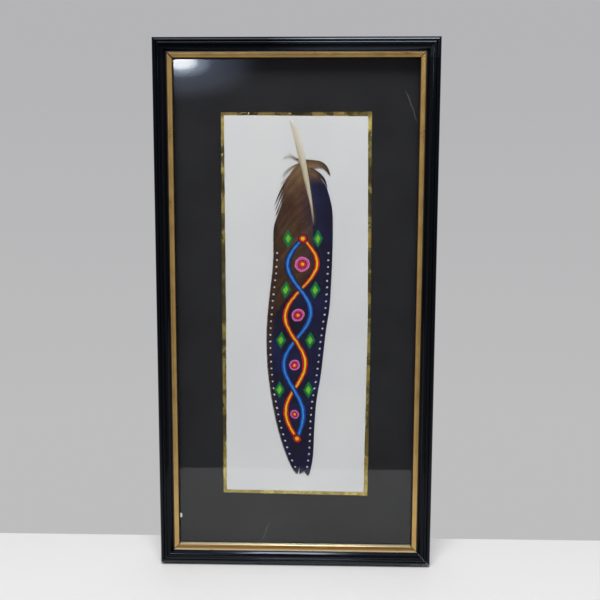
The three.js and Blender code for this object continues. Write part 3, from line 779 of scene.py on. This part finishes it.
def only(piece):
    """Makes a piece the one selected and active object."""
    bpy.ops.object.select_all(action="DESELECT")
    piece.select_set(True)
    bpy.context.view_layer.objects.active = piece


def apply_modifier(piece, kind, **settings):
    """Adds a modifier with its settings and applies it."""
    only(piece)
    modifier = piece.modifiers.new(kind.lower(), kind)
    for name, value in settings.items():
        setattr(modifier, name, value)
    bpy.ops.object.modifier_apply(modifier=modifier.name)


def settle(piece, slot, *nodes):
    """The piece rides with the frame and stands for its solids, which it hides; the slot is not used."""
    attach(piece, "root")
    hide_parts(*nodes)


# Rails


def section_points():
    """The moulding's section as points at x = 0, depth along y and the way inward along z, in metres."""
    points = [SECTION_START]
    for row in SECTION:
        start = points[-1]
        if len(row) == 1:
            points.append(row[0])
            continue
        for step in range(1, BEND_STEPS + 1):
            t = step / BEND_STEPS
            weights = ((1 - t) ** 3, 3 * t * (1 - t) ** 2, 3 * t * t * (1 - t), t ** 3)
            points.append(tuple(sum(w * p[i] for w, p in zip(weights, (start, *row))) for i in (0, 1)))
    return [Vector((0, depth * MM, inward * MM)) for inward, depth in points]


def draw_moulding(length):
    """A length of moulding along x: its section drawn point by point, filled and pulled out."""
    points = section_points()
    bpy.ops.object.select_all(action="DESELECT")
    bpy.ops.mesh.primitive_plane_add(size=MM, location=points[0] - Vector((length / 2, 0, 0)))
    piece = open_piece("moulding")
    bpy.ops.mesh.merge(type="CENTER")
    for before, after in zip(points, points[1:]):
        bpy.ops.mesh.extrude_vertices_move(TRANSFORM_OT_translate={"value": after - before})
    bpy.ops.mesh.select_all(action="SELECT")
    bpy.ops.mesh.edge_face_add()
    bpy.ops.mesh.extrude_region_move(TRANSFORM_OT_translate={"value": (length, 0, 0)})
    bpy.ops.mesh.select_all(action="SELECT")
    bpy.ops.mesh.normals_make_consistent(inside=False)
    close_piece()
    return piece


def colour_moulding(piece, materials):
    """Lacquer outside, gilding on the lip, bare wood on the back and in the rebate."""
    for material in materials:
        piece.data.materials.append(material)
    for face in piece.data.polygons:
        depth, inward = face.center.y / MM, face.center.z / MM
        if depth > RAIL_BACK - 0.1 or (inward > GILT_FROM and depth > LIP_BACK - 0.1):
            face.material_index = 2
        elif inward > GILT_FROM:
            face.material_index = 1


def half_length(side):
    """Half the length of a rail along its outer edge."""
    return HEIGHT / 2 if RAILS[side][1] else HALF_WIDTH


def cut_rail(moulding, side):
    """One rail: a copy of the moulding, mitred at both ends, turned and put in its place."""
    turn, across, up = RAILS[side]
    only(moulding)
    bpy.ops.object.duplicate()
    rail = open_piece(f"moulding_{side}")
    for end in (-1, 1):
        bpy.ops.mesh.select_all(action="SELECT")
        corner = ((half_length(side) - MITRE_GAP * MM) * end, 0, 0)
        bpy.ops.mesh.bisect(plane_co=corner, plane_no=(end, 0, 1), use_fill=True, clear_outer=True)
        bpy.ops.mesh.bevel(offset=MITRE_EASE * MM, segments=1, affect="EDGES", clamp_overlap=True)
    bpy.ops.object.mode_set(mode="OBJECT")
    rail.rotation_euler = (0, math.radians(turn), 0)
    rail.location = (across * HALF_WIDTH, FRONT, (TOP + UNDERSIDE + up * HEIGHT) / 2)
    only(rail)
    bpy.ops.object.transform_apply(location=True, rotation=True, scale=True)
    return rail


def mark_rail(rail, side):
    """Stores each point's place on the rail: along it, back and inward, and half the rail's length."""
    _, across, up = RAILS[side]
    points = mesh_points(rail)
    x = points[:, 0]
    z = points[:, 2] - (TOP + UNDERSIDE) / 2
    along = z if across else x
    inward = (HALF_WIDTH if across else HEIGHT / 2) - across * x - up * z
    store(rail, "rail_plan", np.stack([along, points[:, 1] - FRONT, inward], axis=1))
    store(rail, "rail_half", np.full(len(points), half_length(side)))


def knock(rail, finish):
    """Dents the arris of a rail."""
    bpy.ops.object.select_all(action="DESELECT")
    bpy.ops.mesh.primitive_ico_sphere_add(
        subdivisions=3, radius=MM, location=place(*KNOCK_PLACE), scale=KNOCK_SIZE)
    bite = open_piece("bite")
    bpy.ops.transform.vertex_random(offset=KNOCK_ROUGHNESS * MM, seed=3)
    close_piece()
    bite.data.materials.append(finish)
    apply_modifier(rail, "BOOLEAN", object=bite, operation="DIFFERENCE", solver="EXACT")
    bpy.data.objects.remove(bite)


def stick_flake(rail, ground):
    """A crumb of the chalk ground that clings to the lip."""
    bpy.ops.object.select_all(action="DESELECT")
    bpy.ops.mesh.primitive_cube_add(size=MM, location=place(*FLAKE_PLACE), scale=FLAKE_SIZE)
    flake = open_piece("flake")
    bpy.ops.mesh.subdivide(number_cuts=3)
    bpy.ops.transform.vertex_random(offset=FLAKE_ROUGHNESS * MM, seed=5)
    close_piece()
    flake.data.materials.append(ground)
    only(rail)
    flake.select_set(True)
    bpy.ops.object.join()


def make_rails():
    """Four rails cut from one length of moulding."""
    lacquer = black_lacquer()
    materials = [lacquer, gilt(), bare_pine()]
    moulding = draw_moulding(HEIGHT + 2 * RAIL_BACK * MM)
    colour_moulding(moulding, materials)
    for side in RAILS:
        rail = cut_rail(moulding, side)
        if side == "bottom":
            knock(rail, lacquer)
        if side == "left":
            stick_flake(rail, gesso())
        only(rail)
        bpy.ops.object.shade_smooth_by_angle(angle=math.radians(32))
        mark_rail(rail, side)
        settle(rail, "lacquered_wood", f"rail_{side}")
    bpy.data.objects.remove(moulding)


# Sheets and fittings that keep their solids' shape, with their sharp edges eased


def ease(node, name, material, slot, radius):
    """A copy of a solid with its edges rounded a little."""
    piece = bpy.data.objects.new(name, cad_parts[node].data.copy())
    bpy.context.scene.collection.objects.link(piece)
    only(piece)
    open_piece(name)
    bpy.ops.mesh.select_all(action="SELECT")
    bpy.ops.mesh.remove_doubles(threshold=0.001 * MM)
    bpy.ops.mesh.dissolve_limited(angle_limit=math.radians(1))
    bpy.ops.mesh.select_all(action="SELECT")
    bpy.ops.mesh.bevel(offset=radius * MM, segments=2, affect="EDGES", clamp_overlap=True)
    close_piece()
    bpy.ops.object.shade_smooth_by_angle(angle=math.radians(50))
    apply_modifier(piece, "WEIGHTED_NORMAL", weight=100, keep_sharp=True)
    piece.data.materials.clear()
    piece.data.materials.append(material)
    settle(piece, slot, node)
    return piece


def make_sheets():
    """The glass and the boards behind it, with the fillets that keep them apart."""
    board = black_board()
    pane = ease("glass", "pane", picture_glass(), "clear_glass", 0.35)
    pane.visible_shadow = False
    pane.visible_diffuse = False
    ease("black_mat", "mount_board", board, "black_board", 0.15)
    for side in RAILS:
        ease(f"spacer_{side}", f"fillet_{side}", board, "black_board", 0.2)
    ease("backing_board", "back_panel", hardboard_brown(), "hardboard", 0.4)


def make_fittings():
    """Points that hold the back in, and the hanger with its two pins."""
    steel = plated_steel()
    for number in range(1, POINT_COUNT + 1):
        ease(f"point_{number}", f"glazing_point_{number}", steel, "steel", 0.1)
    ease("hanger", "sawtooth_hanger", brassed_steel(), "brass_plate", 0.12)
    for side in ("left", "right"):
        ease(f"hanger_nail_{side}", f"panel_pin_{side}", steel, "steel", 0.08)


# Cards


def cut_card(node, name, rows, material, slot, ripple, seed):
    """A hand-cut card: a grid with its points pulled to place, wandering edges, a ripple and a thickness."""
    low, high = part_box(node)
    bpy.ops.object.select_all(action="DESELECT")
    bpy.ops.mesh.primitive_grid_add(
        x_subdivisions=1, y_subdivisions=2, size=1, rotation=(math.pi / 2, 0, 0))
    piece = open_piece(name)
    close_piece()
    corners = [corner for row in rows for corner in row]
    for index, (x, z) in enumerate(corners):
        step = Vector((x * MM, low.y, UNDERSIDE + z * MM)) - piece.data.vertices[index].co
        bpy.ops.object.mode_set(mode="EDIT")
        bpy.ops.mesh.select_all(action="DESELECT")
        bpy.ops.object.mode_set(mode="OBJECT")
        piece.data.vertices[index].select = True
        bpy.ops.object.mode_set(mode="EDIT")
        bpy.ops.transform.translate(value=step)
        bpy.ops.object.mode_set(mode="OBJECT")
    bpy.ops.object.mode_set(mode="EDIT")
    bpy.ops.mesh.select_all(action="SELECT")
    bpy.ops.mesh.subdivide(number_cuts=CARD_CUTS)
    bpy.ops.mesh.select_all(action="SELECT")
    bpy.ops.mesh.region_to_loop()
    bpy.ops.transform.vertex_random(offset=EDGE_WANDER * MM, seed=seed)
    bpy.ops.object.mode_set(mode="OBJECT")
    waves = bpy.data.textures.new(f"{name}_ripple", "CLOUDS")
    waves.noise_scale = RIPPLE_LENGTH * MM
    apply_modifier(
        piece, "DISPLACE", texture=waves, strength=ripple * MM, mid_level=0.5, texture_coords="GLOBAL")
    apply_modifier(piece, "SOLIDIFY", thickness=high.y - low.y, offset=-1.0)
    only(piece)
    bpy.ops.object.shade_smooth_by_angle(angle=math.radians(40))
    piece.data.materials.append(material)
    settle(piece, slot, node)


def make_cards():
    """The foil card, and on it the white card that carries the feather."""
    cut_card("gold_card", "foil_card", GOLD_ROWS, gold_foil(), "gold_foil_card", FOIL_RIPPLE, 4)
    cut_card("white_card", "feather_card", WHITE_ROWS, white_board(), "white_card", CARD_RIPPLE, 9)


# Feather


def smooth_line(points, count):
    """Evenly spaced points on a smooth curve through the given ones."""
    knots = np.array(points, float)
    knots = np.vstack([2 * knots[0] - knots[1], knots, 2 * knots[-1] - knots[-2]])
    gaps = np.sqrt(np.linalg.norm(np.diff(knots, axis=0), axis=1))
    t = np.linspace(0, 1, CURVE_STEPS)[:, None]
    fine = []
    for i in range(1, len(knots) - 2):
        before, start, end, after = knots[i - 1:i + 3]
        first, span, last = gaps[i - 1:i + 2]
        leave = span * ((start - before) / first - (end - before) / (first + span) + (end - start) / span)
        arrive = span * ((end - start) / span - (after - start) / (span + last) + (after - end) / last)
        bend = 2 * start - 2 * end + leave + arrive
        rise = 3 * end - 3 * start - 2 * leave - arrive
        fine.append(start + leave * t + rise * t ** 2 + bend * t ** 3)
    line = np.vstack(fine)
    length = np.concatenate([[0], np.cumsum(np.linalg.norm(np.diff(line, axis=0), axis=1))])
    even = np.linspace(0, length[-1], count)
    return np.stack([np.interp(even, length, line[:, k]) for k in range(line.shape[1])], axis=1)


def along_line(line, share):
    """Points of an evenly spaced line at shares of its length."""
    places = np.linspace(0, 1, len(line))
    return np.stack([np.interp(share, places, line[:, k]) for k in range(line.shape[1])], axis=-1)


SHAFT = smooth_line(SHAFT_PATH, LINE_POINTS)
SHAFT_LENGTH = np.linalg.norm(np.diff(SHAFT, axis=0), axis=1).sum()
BROAD_LINE = smooth_line(BROAD_EDGE, LINE_POINTS)
NARROW_LINE = smooth_line(NARROW_EDGE, LINE_POINTS)


def at_height(z, line):
    """How far across a line is at a height, for a line that runs down the feather."""
    return np.interp(z, line[::-1, 1], line[::-1, 0])


def shaft_width(share):
    """Width of the shaft at a share of its length."""
    distances, widths = zip(*SHAFT_WIDTHS)
    return np.interp(share * SHAFT_LENGTH, distances, widths)


def mark_quill(piece):
    """Stores what keratin and paint read: 0 to 1 across the shaft, the way down it, place on the feather."""
    points = mesh_points(piece)
    x = points[:, 0] / MM
    z = (points[:, 2] - UNDERSIDE) / MM
    along = np.interp(z, SHAFT[::-1, 1], np.linspace(SHAFT_LENGTH, 0, len(SHAFT)))
    across = (x - at_height(z, SHAFT)) / shaft_width(along / SHAFT_LENGTH) + 0.5
    store(piece, "quill_plan", np.stack([across, along, 0 * along], axis=1))
    mark_paint(piece, x, z, 0.6, 1.0, 0.0)


def draw_quill(coat):
    """The shaft: an oval ring extruded from station to station along the curve, narrowing as it goes."""
    end_shares, end_widths = zip(*CUT_END)
    shares = np.concatenate([end_shares, np.linspace(SHAFT_FROM, 1, SHAFT_STATIONS)])
    widths = shaft_width(shares)
    widths[:len(CUT_END)] *= end_widths
    centres = along_line(SHAFT, shares)
    heights = widths / 2 * SHAFT_FLATNESS
    spots = [place(x, FEATHER_DEPTH - h, z) for (x, z), h in zip(centres, heights)]
    bpy.ops.object.select_all(action="DESELECT")
    bpy.ops.mesh.primitive_circle_add(vertices=SHAFT_SIDES, radius=MM, fill_type="NGON", location=spots[0])
    piece = open_piece("quill")
    first = (widths[0] / 2, heights[0], 1)
    bpy.ops.transform.resize(value=first, center_override=spots[0])
    for i in range(1, len(spots)):
        bpy.ops.mesh.extrude_region_move(TRANSFORM_OT_translate={"value": spots[i] - spots[i - 1]})
        grow = (widths[i] / widths[i - 1], heights[i] / heights[i - 1], 1)
        bpy.ops.transform.resize(value=grow, center_override=spots[i])
    bpy.ops.mesh.select_all(action="SELECT")
    bpy.ops.mesh.normals_make_consistent(inside=False)
    close_piece()
    apply_modifier(piece, "SUBSURF", levels=1, render_levels=1)
    only(piece)
    bpy.ops.object.shade_smooth()
    mark_quill(piece)
    piece.data.materials.append(quill_keratin())
    piece.data.materials.append(coat)
    for face in piece.data.polygons:
        face.material_index = int(face.center.z < UNDERSIDE + PAINTED_BELOW * MM)
    # Clear horn throws hardly any shade
    piece.visible_shadow = False
    settle(piece, "painted_feather", "feather")


def barb_mesh(name, paths, widths, ridges):
    """One mesh of many barbs, each a closed three-sided strip along its path of x, depth and z in mm."""
    count, stations = paths.shape[:2]
    run = np.gradient(paths, axis=1)
    side = np.stack([-run[..., 2], np.zeros_like(run[..., 0]), run[..., 0]], axis=-1)
    side /= np.linalg.norm(side, axis=-1, keepdims=True)
    half = widths[..., None] / 2
    rise = np.zeros_like(paths)
    rise[..., 1] = ridges
    corners = np.stack([paths - side * half, paths + side * half, paths - rise], axis=2)
    points = corners.reshape(-1, 3) * MM + np.array(place(0, 0, 0))
    index = np.arange(count * stations * 3).reshape(count, stations, 3)
    quads = []
    for a, b in ((0, 1), (1, 2), (2, 0)):
        quads.append(
            np.stack([index[:, :-1, a], index[:, 1:, a], index[:, 1:, b], index[:, :-1, b]], axis=-1))
    quads = np.stack(quads, axis=2).reshape(-1, 4)
    starts, ends = index[:, 0, :], index[:, -1, ::-1]
    mesh = bpy.data.meshes.new(name)
    mesh.from_pydata(points.tolist(), [], quads.tolist() + starts.tolist() + ends.tolist())
    mesh.validate()
    piece = bpy.data.objects.new(name, mesh)
    bpy.context.scene.collection.objects.link(piece)
    only(piece)
    bpy.ops.object.mode_set(mode="EDIT")
    bpy.ops.mesh.select_all(action="SELECT")
    bpy.ops.mesh.normals_make_consistent(inside=False)
    bpy.ops.object.mode_set(mode="OBJECT")
    lay_out_barbs(mesh, count, stations)
    return piece


def lay_out_barbs(mesh, count, stations):
    """A map with every barb's three sides as strips of their own, in columns, for baking."""
    rows = math.ceil(count / MAP_COLUMNS)
    corner = np.zeros(len(mesh.loops), dtype=np.int64)
    mesh.loops.foreach_get("vertex_index", corner)
    sizes = np.zeros(len(mesh.polygons), dtype=np.int64)
    mesh.polygons.foreach_get("loop_total", sizes)
    strip = np.repeat(np.arange(len(mesh.polygons)) % 3, sizes)
    barb, station, side = corner // (3 * stations), corner // 3 % stations, corner % 3
    across = np.where(side == strip, *STRIP_SIDES)
    along = np.interp(station, (0, stations - 1), STRIP_ENDS)
    u = (barb % MAP_COLUMNS + along) / MAP_COLUMNS
    v = (barb // MAP_COLUMNS + (strip + across) / 3) / rows
    layer = mesh.uv_layers.new(name="OFBake")
    layer.data.foreach_set("uv", np.stack([u, v], axis=1).astype(np.float32).ravel())


def mark_paint(piece, x, z, strand, painted, faded):
    """Stores what the paint reads: place on the feather, tone of the strand, ground coat and bleaching."""
    left = at_height(z, BROAD_LINE)
    right = at_height(z, NARROW_LINE)
    for name, values in (("strand", strand), ("painted", painted), ("faded", faded)):
        store(piece, name, np.full(x.shape, values))
    store(piece, "plan", np.stack([x - (left + right) / 2, z, np.minimum(x - left, right - x)], axis=1))


def mark_barbs(piece, paths, strands, painted, faded):
    """The same for a mesh of barbs, with one value for the three points at each station."""
    x, z = paths[..., 0], paths[..., 2]
    tones = np.broadcast_to(strands[:, None], x.shape)
    mark_paint(piece, *[np.repeat(values.ravel(), 3) for values in (x, z, tones, painted, faded)])


def smoothed(values, window):
    """A running mean that keeps the length."""
    kernel = np.ones(window) / window
    padded = np.pad(values, window // 2, mode="edge")
    return np.convolve(padded, kernel, mode="same")[window // 2:window // 2 + len(values)]


def strand_tones(count):
    """Tone of each barb from 0 to 1: neighbours are alike within a lock."""
    locks = smoothed(random.random(count), TONE_WINDOW)
    return LOCK_TONE * (locks - locks.min()) / np.ptp(locks) + (1 - LOCK_TONE) * random.random(count)


def vane_paths(line, roots, side, slits):
    """Paths of a vane's barbs from the shaft to the edge, gathered into locks and parted at the slits."""
    share = np.linspace(0, 1, BARB_COUNT)
    along = roots[0] + (roots[1] - roots[0]) * share
    partings = np.sort(random.random(LOCK_PARTINGS))
    lock = np.searchsorted(partings, share)
    middles = (np.concatenate([[0], partings]) + np.concatenate([partings, [1]])) / 2
    centre = middles[lock]
    pull = LOCK_PULL[0] + LOCK_PULL[1] * random.random(LOCK_PARTINGS + 1)[lock] ** 2
    root = along_line(SHAFT, along)
    tip = along_line(line, np.clip(share + (centre - share) * pull, 0, 1))
    reach = 1 - TIP_RAGGED * random.random(BARB_COUNT) ** 3
    u = np.linspace(0, 1, BARB_STATIONS)
    barb = (tip - root) * reach[:, None]
    arch = np.sin(np.pi * u)
    bend = side * BARB_BEND * arch[None] * (1 - share[:, None] ** 4)
    x = root[:, :1] + u * barb[:, :1] - bend * barb[:, 1:]
    z = root[:, 1:] + u * barb[:, 1:] + bend * barb[:, :1]
    edge = along_line(np.gradient(line, axis=0), share)
    aside = np.stack([-barb[:, 1], barb[:, 0]], axis=1) / np.linalg.norm(barb, axis=1, keepdims=True)
    aside *= np.sign((aside * edge).sum(axis=1, keepdims=True))
    for spot, deep, opening in slits:
        away = share - spot
        push = np.sign(away) * np.exp(-np.abs(away) / SLIT_SPREAD) * opening / 2
        late = np.clip((u - 1 + deep) / deep, 0, 1) ** 0.7
        x = x + aside[:, :1] * push[:, None] * late
        z = z + aside[:, 1:] * push[:, None] * late
    crown = VANE_LIFT * shaft_width(along) * SHAFT_FLATNESS
    lift = crown[:, None] * (1 - u) + EDGE_LIFT * u + VANE_BOW * arch * np.sin(np.pi * share)[:, None]
    lift = lift + BARB_SCATTER * (random.random(BARB_COUNT)[:, None] - 0.5)
    return np.stack([x, FEATHER_DEPTH - lift, z], axis=-1)


def ground_coat(paths, side):
    """Share of dark ground paint: all of the narrow vane, the broad one low down, a wash by the shaft."""
    x, z = paths[..., 0], paths[..., 2]
    from_shaft = x - at_height(z, SHAFT)
    ragged = np.interp(smoothed(random.random(len(paths)), RAGGED_WINDOW), (0, 1), COAT_RAGGED)[:, None]
    if side > 0:
        beside = np.interp(from_shaft, SHAFT_GAP, (0, 1))
        covered = np.interp(z, SHAFT_COAT[::-1], (1, 0))
        return np.maximum(beside, covered) * np.interp(z - ragged, NARROW_COAT[::-1], (1, 0))
    margin = np.interp(z, *zip(*BARE_MARGINS))
    inside = x - at_height(z, BROAD_LINE) - margin + ragged
    thin = np.interp(z, WASH_HEIGHTS[::-1], (WASH_SHARE, 0))
    wash = thin * np.interp(from_shaft, (-WASH_BREADTH, 0), (0, 1))
    return np.maximum(np.interp(inside, (-MARGIN_FADE / 2, MARGIN_FADE / 2), (0, 1)), wash)


def make_vanes(coat):
    """Both vanes, each one mesh of separate barbs."""
    vanes = {
        "broad": (BROAD_LINE, BROAD_ROOTS, -1, SLITS),
        "narrow": (NARROW_LINE, NARROW_ROOTS, 1, []),
    }
    u = np.linspace(0, 1, BARB_STATIONS)
    width = BARB_WIDTH * (1 - BARB_TAPER * u) * np.sqrt(1.02 - u ** 12)
    for name, (line, roots, side, slits) in vanes.items():
        paths = vane_paths(line, roots, side, slits)
        widths = np.broadcast_to(width, paths.shape[:2])
        piece = barb_mesh(f"{name}_vane", paths, widths, BARB_RIDGE)
        tones = strand_tones(BARB_COUNT)
        mark_barbs(piece, paths, tones, ground_coat(paths, side), np.zeros(paths.shape[:2]))
        piece.data.materials.append(coat)
        settle(piece, "painted_feather", "feather")


def make_loose_barbs(coat):
    """Loose locks of the quill end: strands that start at the shaft and draw together or fan out."""
    u = np.linspace(0, 1, BARB_STATIONS)
    strands, tones, bleach, coats, breadths = [], [], [], [], []
    for path, root, tip, count, shades, pale, painted in LOOSE_LOCKS:
        line = smooth_line(path, BARB_STATIONS)
        run = np.gradient(line, axis=0)
        side = np.stack([run[:, 1], -run[:, 0]], axis=1)
        side /= np.linalg.norm(side, axis=1, keepdims=True)
        breadth = root * (1 - u ** 2) + tip * u ** 2
        for share in np.linspace(0, 1, count):
            spread = share - 0.5 + SPREAD_JITTER * (random.random() - 0.5)
            reach = 1 - LOCK_RAGGED * random.random() ** 2
            walk = np.stack([np.interp(u * reach, u, line[:, k]) for k in (0, 1)], axis=1)
            walk = walk + side * (spread * breadth)[:, None]
            lift = np.interp(u, (0, 1), LOCK_LIFTS) + LIFT_JITTER * (random.random() - 0.5)
            strands.append(np.stack([walk[:, 0], FEATHER_DEPTH - lift, walk[:, 1]], axis=1))
            tones.append(np.interp(share, (0, 1), shades) + TONE_JITTER * (random.random() - 0.5))
            bleach.append(pale * np.interp(u, BLEACH_SHARES, (0, 1)))
            coats.append(painted * u)
            breadths.append((WISP_BARB if pale else LOCK_BARB) * np.sqrt(1.02 - u ** 6))
    paths = np.array(strands)
    piece = barb_mesh("loose_barbs", paths, np.array(breadths), BARB_RIDGE)
    mark_barbs(piece, paths, np.array(tones), np.array(coats), np.array(bleach))
    piece.data.materials.append(coat)
    settle(piece, "painted_feather", "feather")


# Stage, light and camera


def make_stage():
    """A pale table top under the frame."""
    bpy.ops.object.select_all(action="DESELECT")
    middle = place(0, (TABLE_FRONT + TABLE_BACK) / 2, -TABLE_GAP - TABLE_THICKNESS / 2)
    size = Vector((TABLE_WIDTH, TABLE_BACK - TABLE_FRONT, TABLE_THICKNESS)) * MM
    bpy.ops.mesh.primitive_cube_add(size=1, location=middle, scale=size)
    table = open_piece("table_top")
    bpy.ops.mesh.bevel(offset=TABLE_ROUNDING, segments=3, affect="EDGES")
    close_piece()
    table.data.materials.append(new_material("pale_laminate", Base_Color="f0f0f0", Roughness=0.55)[0])


def make_world():
    """A pale backdrop behind the frame; in front a dim room with pale screens, floor and ceiling."""
    world = bpy.data.worlds.new("studio")
    bpy.context.scene.world = world
    world.use_nodes = True
    tree = world.node_tree
    spot = add(tree, "TexCoord").outputs["Generated"]
    x, y, z = add(tree, "SeparateXYZ", {"Vector": spot}).outputs
    fall = add(tree, "MapRange", {"Value": z, "From Min": -0.25, "From Max": 0.2})
    wall = add(tree, "Mix", {"Factor": fall, "A": "bdbdbe", "B": "b4b4b6"})
    beside = add(tree, "Math", {0: x}, operation="ABSOLUTE")
    flank = add(tree, "ValToRGB", {"Fac": beside}, stops=[
        (0.22, "000000"), (0.32, "ffffff"), (0.58, "ffffff"), (0.75, "000000")])
    screen = add(tree, "Mix", {"Factor": flank, "A": "59595f", "B": "a8a8aa"})
    below = add(tree, "MapRange", {"Value": z, "From Min": -0.34, "From Max": -0.44})
    room = add(tree, "Mix", {"Factor": below, "A": screen, "B": "b4b3b0"})
    turn = add(tree, "MapRange", {"Value": y, "From Min": 0.0, "From Max": 0.6})
    sides = add(tree, "Mix", {"Factor": turn, "A": room, "B": wall})
    lift = add(tree, "MapRange", {"Value": z, "From Min": 0.35, "From Max": 0.8})
    colour = add(tree, "Mix", {"Factor": lift, "A": sides, "B": "a8a8aa"})
    apart = add(tree, "VectorMath", {0: spot, 1: WINDOW_AIM}, operation="SUBTRACT")
    wide = add(tree, "VectorMath", {0: apart, 1: WINDOW_STRETCH}, operation="MULTIPLY")
    reach = add(tree, "VectorMath", {0: wide}, operation="LENGTH").outputs["Value"]
    glow = add(tree, "ValToRGB", {"Fac": reach}, stops=[
        (0.008, "f4f8ff"), (0.022, "5c6472"), (0.038, "2a2e38"), (0.09, "000000")])
    glow.color_ramp.interpolation = "EASE"
    window = add(tree, "Mix", {
        "Factor": 1.0, "A": glow, "B": (*[WINDOW_STRENGTH] * 3, 1.0)}, blend_type="MULTIPLY")
    lit = add(tree, "Mix", {"Factor": 1.0, "A": colour, "B": window}, blend_type="ADD")
    connect(tree, tree.nodes["Background"], {"Color": lit})


def make_light():
    """A large softbox near the ceiling that faces the middle of the frame."""
    light = bpy.data.lights.new("ceiling_softbox", "AREA")
    light.shape = "RECTANGLE"
    light.size, light.size_y = SOFTBOX_SIZE
    light.energy = SOFTBOX_POWER
    lamp = bpy.data.objects.new("ceiling_softbox", light)
    bpy.context.scene.collection.objects.link(lamp)
    lamp.location = SOFTBOX_PLACE
    aim = Vector((0, 0, (TOP + UNDERSIDE) / 2)) - Vector(SOFTBOX_PLACE)
    lamp.rotation_euler = aim.to_track_quat("-Z", "Y").to_euler()


def make_camera():
    """The camera at the photograph's place, angle and field of view."""
    camera = bpy.data.cameras.new("camera")
    camera.lens = CAMERA_LENS
    camera.sensor_width = CAMERA_SENSOR
    stand = bpy.data.objects.new("camera", camera)
    bpy.context.scene.collection.objects.link(stand)
    stand.location = CAMERA_PLACE
    stand.rotation_euler = [math.radians(angle) for angle in CAMERA_TURN]
    bpy.context.scene.camera = stand


bpy.context.scene.view_settings.view_transform = "Standard"
make_camera()
make_rails()
make_sheets()
make_cards()
make_fittings()
feather_coat = painted_barbs()
draw_quill(feather_coat)
make_vanes(feather_coat)
make_loose_barbs(feather_coat)
make_stage()
make_world()
make_light()
